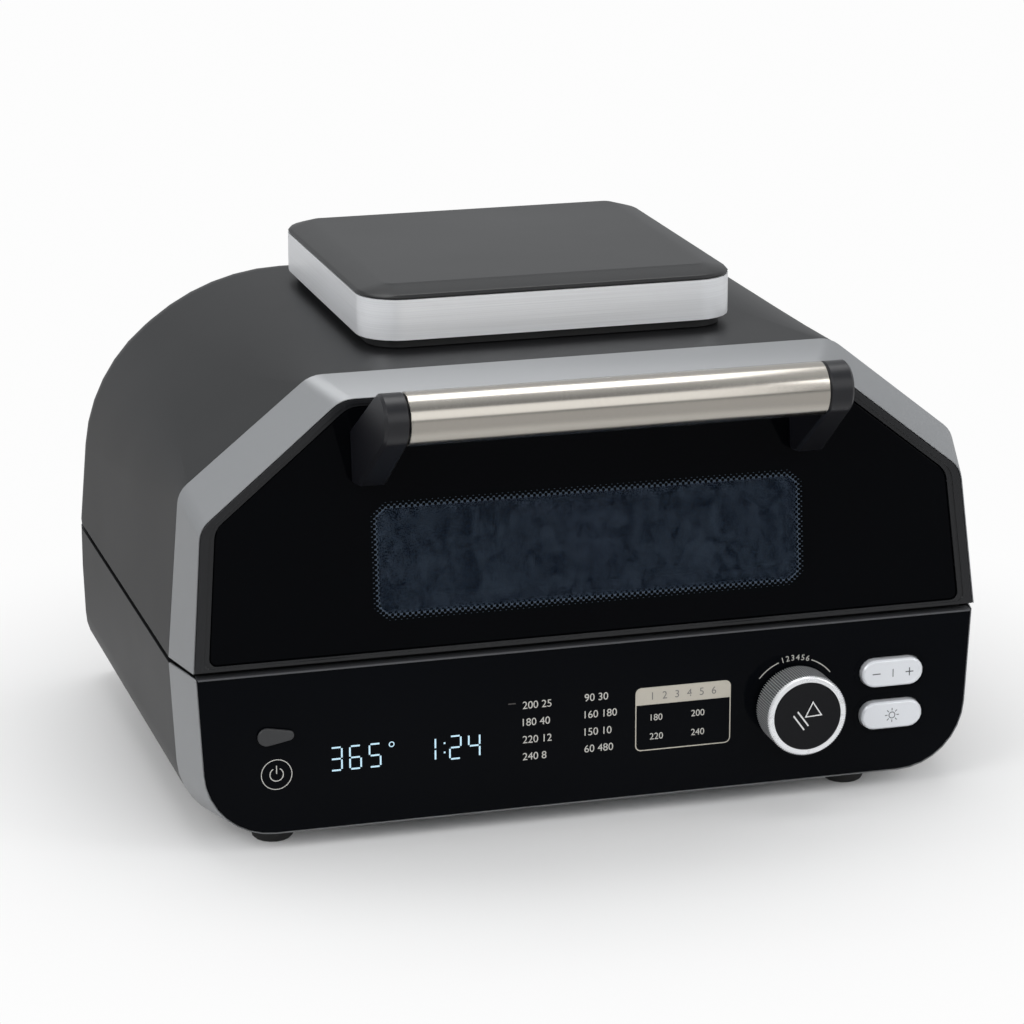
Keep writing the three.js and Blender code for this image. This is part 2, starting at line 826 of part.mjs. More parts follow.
function topBand() {
  return extrudeUp(topOutline(0, topRadius), bandBottom, bandTop,
    [topOutline(bandWall, topRadius - bandWall)]);
}

function topCap() {
  const skirtBottom = plinthTop + plinthFlange + clearance;
  const lipBottom = bandTop + clearance;
  const lipTop = lipBottom + capLip;
  const outside = stack([
    [topOutline(insideBand, topRadius - insideBand), skirtBottom],
    [topOutline(insideBand, topRadius - insideBand), lipBottom],
    [topOutline(capLip / 4, topRadius), lipBottom],
    [topOutline(0, topRadius), lipBottom + capLip / 3],
    [topOutline(capLip / 2, topRadius), lipTop],
    [topOutline(capChamfer, capFlatRadius), lipBottom + capRise],
  ]);
  const hollow = stack([
    [topOutline(insideBand + capWall, topRadius - insideBand), skirtBottom - overrun],
    [topOutline(insideBand + capWall, topRadius - insideBand), lipTop - capWall],
    [topOutline(capChamfer + capWall, capFlatRadius), lipBottom + capRise - capWall],
  ]);
  return cut(outside, hollow);
}

// Hot chamber

function linerOutline(grow, top) {
  const [width, depth] = top ? [linerTopWidth, linerTopDepth] : [linerWidth, linerDepth];
  const centre = ovenCentreY - linerDepth / 2 + depth / 2;
  return roundedBox(width + 2 * grow, depth + 2 * grow, linerRadius + grow, centre, arcSteps - 1);
}

// Inside the casing, narrowing with the trim towards the front
function insidePlan(front, gap) {
  const rearX = bodyWidth / 2 - casingWall - gap;
  const frontX = bodyWidth / 2 - baseSideWidth - trimOpening - gap;
  const rear = bodyDepth - casingWall - gap;
  const corner = rearCornerRadius - casingWall - gap;
  const corners = [[-frontX, front], [frontX, front], [rearX, trimDepth], [rearX, rear], [-rearX, rear],
    [-rearX, trimDepth]];
  return rounded(corners, [0, 0, 0, corner, corner, 0]);
}

function lidLiner() {
  const [low, high] = [lidBottom + clearance, linerTop];
  const outside = stack([[linerOutline(linerWall, false), low], [linerOutline(linerWall, true), high]]);
  const flange = extrudeUp(insidePlan(bezelDepth + 3 * clearance, shoulderLean / 4), low,
    low + flangeThickness);
  const inside = stack([
    [linerOutline(0, false), low - overrun],
    [linerOutline(0, false), low],
    [linerOutline(0, true), high - linerWall],
  ]);
  const window = extrudeBack(windowOutline(0), linerFront - overrun, linerFront + overrun);
  const shaftHole = rod(fanHubRadius, high - overrun, high + overrun, 16, 'z');
  shaftHole.translate(0, ovenCentreY, 0);
  const lampHole = rod(lampRadius - clearance, high - overrun, high + overrun, 18, 'z');
  lampHole.translate(lampX, lampY, 0);
  const sensorHole = rod(sensorRadius + clearance, high - overrun, high + overrun, 12, 'z');
  sensorHole.translate(-lampX, lampY, 0);
  const tails = heaterEnds().map(([x, y]) => {
    return rod(heaterTube + 3 * clearance, high - overrun, high + overrun, 12, 'z').translate(x, y, 0);
  });
  return cut(join(outside, flange), inside, window, shaftHole, lampHole, sensorHole, ...tails);
}

function lidSeal() {
  const [inner, outer] = [linerOutline(sealGapWidth, false), linerOutline(sealGapWidth + sealWidth, false)];
  const low = tubRimTop + clearance;
  return extrudeUp(outer, low, lidBottom, [inner]);
}

// Heater: one tube that drops through the roof, winds nearly twice round the fan and climbs out again

const heaterStart = Math.PI * (1 - heaterTurns % 1);

function heaterPlace(share) {
  const angle = Math.PI / 2 + heaterStart + 2 * Math.PI * heaterTurns * share;
  const radius = heaterRadius + (heaterInnerRadius - heaterRadius) * share;
  return [radius * Math.cos(angle), ovenCentreY + radius * Math.sin(angle)];
}

function heaterEnds() {
  return [heaterPlace(0), heaterPlace(1)];
}

function heatingElement() {
  const level = linerTop - heaterDrop;
  const out = linerTop + heaterTail;
  const bend = 3 * heaterTube;
  const [start, end] = heaterEnds();
  const turns = Array.from({ length: heaterSteps }, (_, i) => {
    return heaterPlace((i + 1.5) / (heaterSteps + 2));
  });
  const points = [
    new THREE.Vector3(...start, out),
    new THREE.Vector3(...start, linerTop),
    new THREE.Vector3(...start, level + bend),
    ...turns.map(([x, y]) => new THREE.Vector3(x, y, level)),
    new THREE.Vector3(...end, level + bend),
    new THREE.Vector3(...end, linerTop),
    new THREE.Vector3(...end, out),
  ];
  const path = new THREE.CatmullRomCurve3(points, false, 'centripetal');
  const section = shapeOf(circle(heaterTube, 6));
  return new THREE.ExtrudeGeometry(section, { steps: heaterSteps + 13, extrudePath: path });
}

function heaterGuard() {
  const level = linerTop - guardDrop;
  const disc = extrudeUp(circle(guardRadius, 22), level, level + guardThickness);
  const rim = extrudeUp(circle(guardRadius, 22), level, level + guardRim,
    [circle(guardRadius - guardThickness, 22)]);
  const slots = [];
  const slotShares = [0.3, 0.88];
  const [inner, outer] = slotShares.map((share) => guardRadius * share);
  const middle = (inner + outer) / 2;
  for (let i = 0; i < guardSlotCount; i += 1) {
    const turn = (2 * Math.PI * i) / guardSlotCount;
    [[inner, middle - guardSlotWidth, 0.5], [middle, outer, 1]].forEach(([from, to, wide]) => {
      const half = (guardSlotWidth * wide) / 2;
      const slot = box([from, -half, level - overrun], [to, half, level + overrun]);
      slots.push(slot.rotateZ(turn));
    });
  }
  const posts = Array.from({ length: guardPostCount }, (_, i) => {
    const post = rod(guardPostRadius, level, linerTop - linerWall - clearance, 8, 'z');
    const turn = Math.PI / guardPostCount + (2 * Math.PI * i) / guardPostCount;
    return post.translate(guardRadius - guardPostRadius, 0, 0).rotateZ(turn);
  });
  return join(cut(join(disc, rim), ...slots), ...posts).translate(0, ovenCentreY, 0);
}

// Fans, shaft and motor, drawn about their own upright axis

const fanTop = linerTop - linerWall - fanDrop;
const motorBottom = linerTop + clearance + bridgeHeight + clearance;
const coolingBottom = plinthTop + 3 * plinthFlange;

function bladed(radius, hub, height, count, lean, level) {
  const disc = rod(radius, level + height - fanDisc, level + height, 22, 'z');
  const middle = rod(hub, level, level + height, 16, 'z');
  const blades = Array.from({ length: count }, (_, i) => {
    const half = fanBladeThickness / 2;
    const blade = box([hub - half, -half, level], [radius - half, half, level + height - half]);
    blade.translate(-hub, 0, 0).rotateZ(lean).translate(hub, 0, 0);
    return common(blade.rotateZ((2 * Math.PI * i) / count), rod(radius, level, level + height, 22, 'z'));
  });
  const bore = rod(shaftRadius + clearance, level - overrun, level + height + overrun, 12, 'z');
  return cut(join(disc, middle, ...blades), bore);
}

function hotFan() {
  const level = fanTop - fanBladeHeight;
  return bladed(fanRadius, fanHubRadius, fanBladeHeight, fanBladeCount, fanBladeLean, level);
}

function coolingFan() {
  return bladed(coolingRadius, fanHubRadius, coolingHeight, coolingBladeCount, coolingBladeLean,
    coolingBottom);
}

function fanShaft() {
  const low = fanTop - fanBladeHeight - fanDisc;
  const high = coolingBottom + coolingHeight + fanDisc;
  const nut = shaftNutRadius;
  return turned([[0, low - nut], [nut, low - nut], [nut, low], [shaftRadius, low], [shaftRadius, high],
    [0, high]], 12, 'z');
}

function fanMotor() {
  const top = motorBottom + motorHeight;
  const [endShare, edgeShare, coreWidthShare, coreInsetShare] = [0.85, 0.2, 1.05, 0.3];
  const [end, edge] = [motorRadius * endShare, motorHeight * edgeShare];
  const body = turned([
    [0, motorBottom - motorCupHeight],
    [motorCupRadius, motorBottom - motorCupHeight],
    [motorCupRadius, motorBottom],
    [end, motorBottom],
    [motorRadius, motorBottom + edge],
    [motorRadius, top - edge],
    [end, top],
    [motorCupRadius, top],
    [motorCupRadius, top + motorCupHeight],
    [0, top + motorCupHeight],
  ], 12, 'z');
  const [iron, inset] = [motorRadius * coreWidthShare, motorHeight * coreInsetShare];
  const core = box([-iron, -iron, motorBottom + inset], [iron, iron, top - inset]);
  const bore = rod(shaftRadius + clearance, motorBottom - motorHeight, top + motorHeight, 12, 'z');
  return cut(join(body, core), bore);
}

// The bridge holds the motor clear of the hot roof
function motorBridge() {
  const low = linerTop + clearance;
  const high = low + bridgeHeight;
  const [x, y] = [bridgeLength / 2, bridgeWidth / 2];
  const t = bridgeThickness;
  const foot = bridgeHeight;
  const side = [[-x - foot, low], [-x + t, low], [-x + t, high - t], [x - t, high - t], [x - t, low],
    [x + foot, low], [x + foot, low + t], [x, low + t], [x, high], [-x, high], [-x, low + t],
    [-x - foot, low + t]];
  const hole = rod(motorCupRadius + clearance, low, high + overrun, 24, 'z');
  return cut(extrudeBack(side, -y, y), hole);
}

function lampLens() {
  const high = linerTop - linerWall - clearance;
  const domeShares = [[0, 1], [0.55, 0.85], [0.9, 0.4], [1, 0], [0, 0]];
  const profile = domeShares.map(([out, down]) => [lampRadius * out, high - lampDrop * down]);
  return turned(profile, 16, 'z').translate(lampX, lampY, 0);
}

function lampHolder() {
  const low = linerTop - linerWall;
  const radius = lampRadius - 2 * clearance;
  const collar = lampRadius + 2 * clearance;
  const socketShare = 0.8;
  const socket = radius * socketShare;
  const profile = [[0, low], [radius, low], [radius, linerTop + clearance], [collar, linerTop + clearance],
    [collar, linerTop + lampHolderHeight / 4], [socket, linerTop + lampHolderHeight / 3],
    [socket, linerTop + lampHolderHeight], [0, linerTop + lampHolderHeight]];
  return turned(profile, 12, 'z').translate(lampX, lampY, 0);
}

function airSensor() {
  const insideShare = 0.6;
  const low = linerTop - sensorLength * insideShare;
  const high = low + sensorLength;
  const collar = linerTop + clearance;
  const profile = [[0, low], [sensorRadius, low], [sensorRadius, collar], [2 * sensorRadius, collar],
    [2 * sensorRadius, collar + 2 * sensorRadius], [sensorRadius, collar + 2 * sensorRadius],
    [sensorRadius, high], [0, high]];
  return turned(profile, 10, 'z').translate(-lampX, lampY, 0);
}

// Base front: panel, rail, and what sits behind it

const panelBack = panelThickness + clearance;
const boardY = panelThickness + boardStandoff;
const boardZ = footHeight + boardRise;

function pill(width, height) {
  const radius = height / 2;
  const reach = width / 2 - radius;
  return [
    ...arc([reach, 0], radius, -Math.PI / 2, Math.PI / 2, 9),
    ...arc([-reach, 0], radius, Math.PI / 2, (3 * Math.PI) / 2, 9),
  ];
}

function controlPanel() {
  const top = baseTop - panelTop;
  const wall = trimOpening;
  const outline = baseOutline(baseSideWidth + wall, trimBottomWidth + wall, top, panelCornerRadius - wall);
  const body = extrudeBack(outline, 0, panelThickness);
  const through = (geometry, x, z) => geometry.translate(x, 0, z);
  const opening = pill(buttonWidth + 2 * slideClearance, buttonHeight + 2 * slideClearance);
  const holes = [upperButtonDrop, lowerButtonDrop].map((drop) => {
    return through(extrudeBack(opening, -overrun, overrun), buttonX, seamZ - drop);
  });
  const round = (radius, x, drop) => through(rod(radius, -overrun, overrun, 14, 'y'), x, seamZ - drop);
  const drilled = cut(
    body,
    ...holes,
    round(spindleRadius + 2 * clearance, dialX, dialDrop),
    round(jackBore + clearance, coverX, coverDrop),
    round(coverPinRadius + clearance, coverX + coverLength, coverDrop),
  );
  const bossX = boardWidth / 2 - 3 * bossRadius;
  const middleX = displayX + displayWidth / 2 + 5 * bossRadius;
  const lowX = dialX - encoderWidth - 5 * bossRadius;
  const bosses = [[-bossX, 1], [bossX, 1], [middleX, 1], [middleX, 0], [lowX, 0]];
  const posts = bosses.map(([x, high]) => {
    const z = boardZ + (high ? boardHeight - 2 * bossRadius : 2 * bossRadius);
    return rod(bossRadius, panelThickness / 2, boardY - clearance, 8, 'y').translate(x, 0, z);
  });
  return join(drilled, ...posts);
}

function panelRail() {
  const half = bodyWidth / 2 - baseSideWidth - trimOpening;
  const low = baseTop - railHeight;
  const edge = railHeight / 5;
  const side = [[-railProud, low + edge], [edge - railProud, low], [railDepth, low], [railDepth, baseTop],
    [2 * edge - railProud, baseTop], [-railProud, baseTop - 2 * edge]];
  return extrudeAcross(side, -half, half);
}

function controlBoard() {
  const half = boardWidth / 2;
  const [footShare, chipShares] = [0.93, [-0.5, -0.1, 0.35]];
  const outline = [[-half, boardZ + boardHeight / 3],
    [-half * footShare, boardZ], [half * footShare, boardZ],
    [half, boardZ + boardHeight / 3], [half, boardZ + boardHeight], [-half, boardZ + boardHeight]];
  const chip = (x, z, size) => box([x, boardY + boardThickness / 2, z],
    [x + size, boardY + 2 * boardThickness, z + size]);
  const parts = chipShares.map((share) => {
    return chip(half * share, boardZ + boardHeight / 2, boardHeight / 5);
  });
  return join(extrudeBack(outline, boardY, boardY + boardThickness), ...parts);
}

function displayModule() {
  const [x, z] = [displayWidth / 2, displayHeight / 2];
  const body = box([-x, panelBack, -z], [x, boardY - clearance, z]);
  const [frameWidthShare, frameHeightShare] = [1.04, 1.15];
  const [frameX, frameZ] = [x * frameWidthShare, z * frameHeightShare];
  const frame = box([-frameX, panelBack + panelThickness, -frameZ],
    [frameX, boardY - clearance - panelThickness, frameZ]);
  return join(body, frame).translate(displayX, 0, seamZ - displayDrop);
}

function dialEncoder() {
  const half = encoderWidth / 2;
  const body = box([-half, panelBack, -half], [half, boardY - clearance, half]);
  const bore = rod(spindleRadius + clearance, 0, boardY - clearance - boardThickness, 20, 'y');
  return cut(body, bore);
}

function buttonSwitch() {
  const half = switchWidth / 2;
  const [front, back] = [boardY - clearance - switchDepth, boardY - clearance];
  return box([-half, front, -half], [half, back, half]);
}

function probeJack() {
  const back = boardY - clearance;
  const blockShare = 1.2;
  const half = jackRadius * blockShare;
  const block = box([-half, back / 2, -half], [half, back, half]);
  const body = join(rod(jackRadius, panelBack, back, 20, 'y'), block);
  return cut(body, rod(jackBore, 0, back - boardThickness, 16, 'y'));
}

// Dial, drawn about its own axis: the front faces -Y

const dialFace = -dialDepth;
const spindleFront = dialFace + dialCapThickness + dialTravel + 3 * clearance;

function knurled(radius, from, to) {
  const points = Array.from({ length: 2 * knurlCount }, (_, i) => {
    const reach = radius - (i % 2) * knurlDepth;
    const angle = (Math.PI * i) / knurlCount;
    return [reach * Math.cos(angle), reach * Math.sin(angle)];
  });
  return extrudeBack(points, from, to);
}

function dialRing() {
  const grip = knurled(dialRadius, dialFace + 2 * dialBevel, -dialGap);
  const nose = turned([[0, dialFace], [dialRadius - dialBevel, dialFace],
    [dialRadius, dialFace + dialBevel], [dialRadius, dialFace + 2 * dialBevel],
    [0, dialFace + 2 * dialBevel]],
  30, 'y');
  const seat = rod(dialCapRadius + clearance, dialFace - overrun, dialFace + dialCapThickness + clearance,
    30, 'y');
  const web = dialFace + dialCapThickness + clearance + dialWall / 2;
  const inside = dialRadius - knurlDepth - dialWall;
  const rear = turned([[dialHubRadius, web], [inside, web], [inside, overrun], [dialHubRadius, overrun],
    [dialHubRadius, web]], 18, 'y');
  const bore = cut(rod(spindleRadius + clearance, spindleFront - dialTravel - clearance, overrun, 20, 'y'),
    flatSide(clearance));
  return cut(join(grip, nose), seat, rear, bore);
}

// What lies beyond the flat of a D-shaped spindle
function flatSide(gap) {
  const level = spindleRadius - spindleFlat + gap;
  return box([-dialRadius, -2 * dialDepth, level], [dialRadius, 2 * dialDepth, level + dialRadius]);
}

function dialCap() {
  const back = dialFace + dialCapThickness;
  const dishShares = [[0, 1], [0.7, 0.5], [0.957, 0.1], [1, 1]];
  const dished = dishShares.map(([out, down]) => [dialCapRadius * out, dialFace + dialDish * down]);
  return turned([...dished, [dialCapRadius, back], [0, back]], 30, 'y');
}

function dialSpindle() {
  const back = boardY - clearance - boardThickness - clearance;
  return cut(rod(spindleRadius, spindleFront, back, 20, 'y'),
    common(flatSide(0), box([-dialRadius, -2 * dialDepth, -dialRadius], [dialRadius, 0, dialRadius])));
}

// Push buttons: a pill-shaped key with a flange behind the panel and a stem towards its switch
function pushButton() {
  const keyDepth = buttonProud + panelBack + clearance;
  const key = bevelled(pill(buttonWidth, buttonHeight), 0, keyDepth, buttonBevel, 1);
  key.rotateX(Math.PI / 2).translate(0, panelBack + clearance, 0);
  const flange = extrudeBack(pill(buttonWidth + 2 * buttonFlange, buttonHeight + 2 * buttonFlange),
    panelBack, panelBack + panelThickness / 2);
  const end = boardY - clearance - switchDepth - buttonTravel - clearance;
  const stem = rod(stemRadius, panelBack, end, 10, 'y');
  return join(key, flange, stem);
}

// Teardrop cover over the probe jack, pinned at its narrow end
function probeCover() {
  const tilt = Math.asin((coverRadius - coverTipRadius) / coverLength);
  const outline = [
    ...arc([-coverLength, 0], coverRadius, Math.PI / 2 - tilt, (3 * Math.PI) / 2 + tilt, 9),
    ...arc([0, 0], coverTipRadius, -Math.PI / 2 + tilt, Math.PI / 2 - tilt, 6),
  ];
  const flap = bevelled(outline, 0, coverThickness, coverThickness / 4, 1);
  flap.rotateX(Math.PI / 2).translate(0, -clearance, 0);
  const pin = rod(coverPinRadius, -coverThickness, panelThickness + clearance + coverThickness, 8, 'y');
  return join(flap, pin);
}

// Inside the base

function deckFrame() {
  const front = railDepth + clearance;
  const gap = baseLean / 4;
  const opening = roundedBox(tubWidth + 2 * slideClearance, tubDepth + 2 * slideClearance,
    tubRadius, ovenCentreY);
  const deck = extrudeUp(insidePlan(front, gap), deckTop - deckThickness, deckTop, [opening]);
  const lipFront = front + deckLipSetback;
  const lip = extrudeUp(insidePlan(lipFront, gap), deckTop - deckThickness / 2, deckTop + deckLipHeight,
    [insidePlan(lipFront + deckLipWall, gap + deckLipWall)]);
  return join(deck, lip);
}

function vessel(width, depth, taper, radius, wall, floor, rim) {
  const low = (gap) => roundedBox(width - 2 * taper - 2 * gap, depth - 2 * taper - 2 * gap, radius - gap,
    ovenCentreY);
  const high = (gap) => roundedBox(width - 2 * gap, depth - 2 * gap, radius - gap, ovenCentreY);
  const outside = stack([[low(radius / 6), floor], [low(0), floor + radius / 6], [high(0), rim]]);
  const inside = stack([[low(radius / 6 + wall), floor + wall], [low(wall), floor + radius / 6 + wall],
    [high(wall), rim], [high(wall), rim + overrun]]);
  return [outside, inside];
}

function innerTub() {
  const [outside, inside] = vessel(tubWidth, tubDepth, tubTaper, tubRadius, tubWall, tubFloor, tubRimTop);
  const flange = extrudeUp(roundedBox(tubWidth + 2 * tubFlangeWidth, tubDepth + 2 * tubFlangeWidth,
    linerRadius + sealGapWidth + sealWidth, ovenCentreY), deckTop + clearance, tubRimTop);
  return cut(join(outside, flange), inside);
}

const potWidth = tubWidth - 2 * potGap - 2 * tubWall;
const potDepth = tubDepth - 2 * potGap - 2 * tubWall;
const potRadius = tubRadius - potGap;
const potRimTop = tubRimTop + clearance + potRimHeight;

function rimOutline(reach) {
  return roundedBox(potWidth + 2 * reach, potDepth + 2 * reach, potRadius + reach, ovenCentreY);
}

function cookingPot() {
  const [outside, inside] = vessel(potWidth, potDepth, potTaper, potRadius, potWall, potFloor, potRimTop);
  const rim = stack([
    [rimOutline(potRimWidth), tubRimTop + clearance],
    [rimOutline(potRimWidth), tubRimTop + clearance + potRimHeight / 2],
    [rimOutline(potRimWidth / 2), potRimTop],
  ]);
  return cut(join(outside, rim), inside);
}

// Grill plate: one comb of tapered ridges, trimmed to the pot, drained between the ridges
function grillPlate() {
  const low = potFloor + potWall + clearance + plateLegHeight;
  const level = low + plateThickness;
  const inset = potTaper + potWall + plateGap;
  const [width, depth] = [potWidth - 2 * inset, potDepth - 2 * inset];
  const count = Math.floor((width - 2 * ridgePitch) / ridgePitch);
  const ridges = Array.from({ length: count }, (_, i) => {
    const x = (i - (count - 1) / 2) * ridgePitch;
    return [[x + ridgeWidth / 2, level], [x + ridgeTopWidth / 2, level + ridgeHeight],
      [x - ridgeTopWidth / 2, level + ridgeHeight], [x - ridgeWidth / 2, level]];
  });
  const half = width / 2;
  const section = [[-half, low], [half, low], [half, level], ...ridges.reverse().flat(), [-half, level]];
  const [front, rear] = [ovenCentreY - depth / 2, ovenCentreY + depth / 2];
  const comb = extrudeBack(section, front + ridgePitch / 2, rear - ridgePitch / 2);
  const outline = roundedBox(width, depth, potRadius - inset / 2, ovenCentreY);
  const edge = extrudeUp(outline, low, level);
  const trim = extrudeUp(outline, low, level + ridgeHeight + overrun);
  const drains = [];
  const drainShare = 0.24;
  for (let i = 0; i < count - 1; i += 3) {
    const x = (i + 1 - count / 2) * ridgePitch;
    [-1, 1].forEach((side) => {
      const y = ovenCentreY + side * depth * drainShare;
      drains.push(box([x - drainWidth / 2, y - drainLength / 2, low - overrun],
        [x + drainWidth / 2, y + drainLength / 2, level + overrun]));
    });
  }
  const legs = [[-1, -1], [1, -1], [1, 1], [-1, 1]].map(([a, b]) => {
    const leg = rod(plateLegRadius, low - plateLegHeight, low + plateThickness / 2, 12, 'z');
    return leg.translate(a * (half - potRadius), ovenCentreY + b * (depth / 2 - potRadius), 0);
  });
  return join(cut(join(edge, common(comb, trim)), ...drains), ...legs);
}

function powerBoard() {
  const [x, y] = [powerBoardWidth / 2, powerBoardDepth / 2];
  const low = footHeight + casingWall + powerBoardStandoff;
  const board = box([-x, -y, low], [x, y, low + boardThickness]);
  const high = low + boardThickness / 2;
  const [coilShares, relayShares, sinkShares] = [
    [-0.7, 0.7, -0.8, -0.45, 1],
    [-0.6, 0.5, -0.2, 0.05, 0.6],
    [-0.7, -0.5, 0.6, 0.9, 1],
  ];
  const blocks = [coilShares, relayShares, sinkShares].map(([left, right, front, rear, tall]) => {
    return box([x * left, y * front, high], [x * right, y * rear, high + powerBoardWidth * tall]);
  });
  const [storeRadiusShare, storeHeightShare, storePlaceShare] = [0.5, 0.8, 0.35];
  const store = rod(x * storeRadiusShare, high, high + powerBoardWidth * storeHeightShare, 16, 'z');
  store.translate(0, y * storePlaceShare, 0);
  const legs = [[-1, -1], [1, -1], [1, 1], [-1, 1]].map(([a, b]) => {
    const leg = rod(bossRadius, footHeight + casingWall + clearance, low + boardThickness / 2, 10, 'z');
    return leg.translate(a * (x - 2 * bossRadius), b * (y - 2 * bossRadius), 0);
  });
  const beside = tubWidth / 2 + 2 * clearance + x;
  const whole = join(board, ...blocks, store, ...legs).translate(beside, powerBoardY, 0);
  return common(whole, tray(casingWall + clearance));
}

function cordGland() {
  const [front, rear] = [bodyDepth - casingWall - 2 * clearance, bodyDepth + clearance];
  const flange = glandCollar - glandRadius;
  const [rootShare, tipShare] = [0.8, 0.65];
  return turned([[glandBore, front - flange], [glandCollar, front - flange], [glandCollar, front],
    [glandRadius, front], [glandRadius, rear], [glandCollar, rear], [glandCollar, rear + flange / 2],
    [glandRadius * rootShare, rear + flange], [glandRadius * tipShare, rear + glandLength],
    [glandBore, rear + glandLength], [glandBore, front - flange]], 12, 'y');
}

function foot() {
  const top = footHeight - clearance;
  return turned([[0, 0], [footRadius - footTaper - footEdge, 0], [footRadius - footTaper, footEdge],
    [footRadius, top], [0, top]], 16, 'z');
}

// Hinges, drawn about the hinge axis

const knuckleGap = clearance;
const earInner = knuckleLength / 2 + knuckleGap;
const wallY = -hingeOffset + clearance;
const cheekShares = [[0.95, 0.4], [0.99, 0]];

function hingeBracket() {
  const outer = earInner + earThickness;
  const plate = box([-outer, wallY, -hingePlateDrop], [outer, wallY + hingePlate, -hingePlateTop]);
  const cheek = cheekShares.map(([back, down]) => [hingeRadius * back, -hingeRadius * down]);
  const gusset = [[wallY, 0], [wallY, -hingeGusset], [wallY + hingePlate, -hingeGusset], ...cheek];
  const ears = [[-outer, -earInner], [earInner, outer]].flatMap(([from, to]) => {
    return [extrudeAcross(gusset, from, to), rod(hingeRadius, from, to, 12, 'x')];
  });
  const bore = rod(pinRadius + clearance, -2 * outer, 2 * outer, 10, 'x');
  return cut(join(plate, ...ears), bore);
}

function hingeArm() {
  const half = knuckleLength / 2;
  const plate = box([-half, wallY, seamGap], [half, wallY + hingePlate, armPlateHeight]);
  const cheek = cheekShares.map(([back, up]) => [hingeRadius * back, hingeRadius * up]).reverse();
  const neck = [[wallY, 0], ...cheek, [wallY + hingePlate, hingeGusset], [wallY, hingeGusset]];
  const bore = rod(pinRadius + clearance, -2 * half, 2 * half, 10, 'x');
  return cut(join(plate, extrudeAcross(neck, -half, half), rod(hingeRadius, -half, half, 12, 'x')), bore);
}

function hingePin() {
  const outer = earInner + earThickness;
  return turned([[0, -outer - pinHead], [pinHeadRadius, -outer - pinHead], [pinHeadRadius,
    -outer - clearance], [pinRadius, -outer - clearance], [pinRadius, outer + pinHead],
  [0, outer + pinHead]], 10, 'x');
}

// Finishes

function finish(color, roughness, metalness = 0) {
  return () => new THREE.MeshStandardMaterial({ color, roughness, metalness, flatShading: true });
}

const blackSatin = finish(0x3a3b3d, 0.55);
const blackGloss = finish(0x0b0c10, 0.12);
const greySatin = finish(0x8f9296, 0.45, 0.6);
const trimMetal = finish(0xa0a3a6, 0.4, 0.7);
const brushedMetal = finish(0xcdd0d6, 0.35, 0.9);
const steel = finish(0xc4bfb0, 0.28, 0.95);
const sheetMetal = finish(0x9a9c9e, 0.4, 0.85);
const castBlack = finish(0x1c1c1e, 0.7);
const rubber = finish(0x161616, 0.85);
const silicone = finish(0x7d7f82, 0.8);
const boardGreen = finish(0x1f4a30, 0.6);
const paleKey = finish(0xdee1e6, 0.35, 0.3);
const lensGlass = finish(0xd8dcd8, 0.15);

function add(parent, name, geometry, material) {
  const mesh = new THREE.Mesh(closed(geometry), material());
  mesh.name = name;
  parent.add(mesh);
  return mesh;
}

function group(parent, x = 0, y = 0, z = 0) {
  const made = new THREE.Group();
  made.position.set(x, y, z);
  parent.add(made);
  return made;
}

// Assembly

const grill = new THREE.Group();
grill.position.y = -(hingeY + hingeRadius + handleFront) / 2;

const base = group(grill);
add(base, 'base_shell', baseShell(), blackSatin);
add(base, 'base_trim', baseTrim(), trimMetal);
add(base, 'control_panel', controlPanel(), blackGloss);
add(base, 'panel_rail', panelRail(), greySatin);
add(base, 'deck_frame', deckFrame(), blackSatin);
add(base, 'inner_tub', innerTub(), sheetMetal);
add(base, 'control_board', controlBoard(), boardGreen);
add(base, 'display_module', displayModule(), castBlack);
add(base, 'power_board', powerBoard(), boardGreen);
add(base, 'cord_gland', cordGland().translate(glandX, 0, glandZ), rubber);
add(base, 'probe_jack', probeJack().translate(coverX, 0, seamZ - coverDrop), castBlack);

const feet = {
  foot_front_left: [frontFootLeftX, frontFootY],
  foot_front_right: [frontFootRightX, frontFootY],
  foot_rear_left: [-rearFootX, rearFootY],
  foot_rear_right: [rearFootX, rearFootY],
};
for (const [name, [x, y]] of Object.entries(feet)) {
  add(base, name, foot(), rubber).position.set(x, y, 0);
}

const dial = group(base, dialX, 0, seamZ - dialDrop);
add(dial, 'dial_encoder', dialEncoder(), sheetMetal);
add(dial, 'dial_spindle', dialSpindle(), steel);
add(dial, 'dial_ring', dialRing(), brushedMetal);
add(dial, 'dial_cap', dialCap(), blackGloss);

for (const [name, drop] of [['upper', upperButtonDrop], ['lower', lowerButtonDrop]]) {
  const place = group(base, buttonX, 0, seamZ - drop);
  add(place, `${name}_button`, pushButton(), paleKey);
  add(place, `${name}_switch`, buttonSwitch(), castBlack);
}

const coverPivot = group(base, coverX + coverLength, 0, seamZ - coverDrop);
add(coverPivot, 'probe_cover', probeCover(), rubber);

add(base, 'cooking_pot', cookingPot(), castBlack);
add(base, 'grill_plate', grillPlate(), castBlack);

const sides = { left: -1, right: 1 };
for (const [side, sign] of Object.entries(sides)) {
  const place = group(base, sign * hingeX, hingeY, seamZ);
  add(place, `hinge_bracket_${side}`, hingeBracket(), sheetMetal);
  add(place, `hinge_pin_${side}`, hingePin(), steel);
}

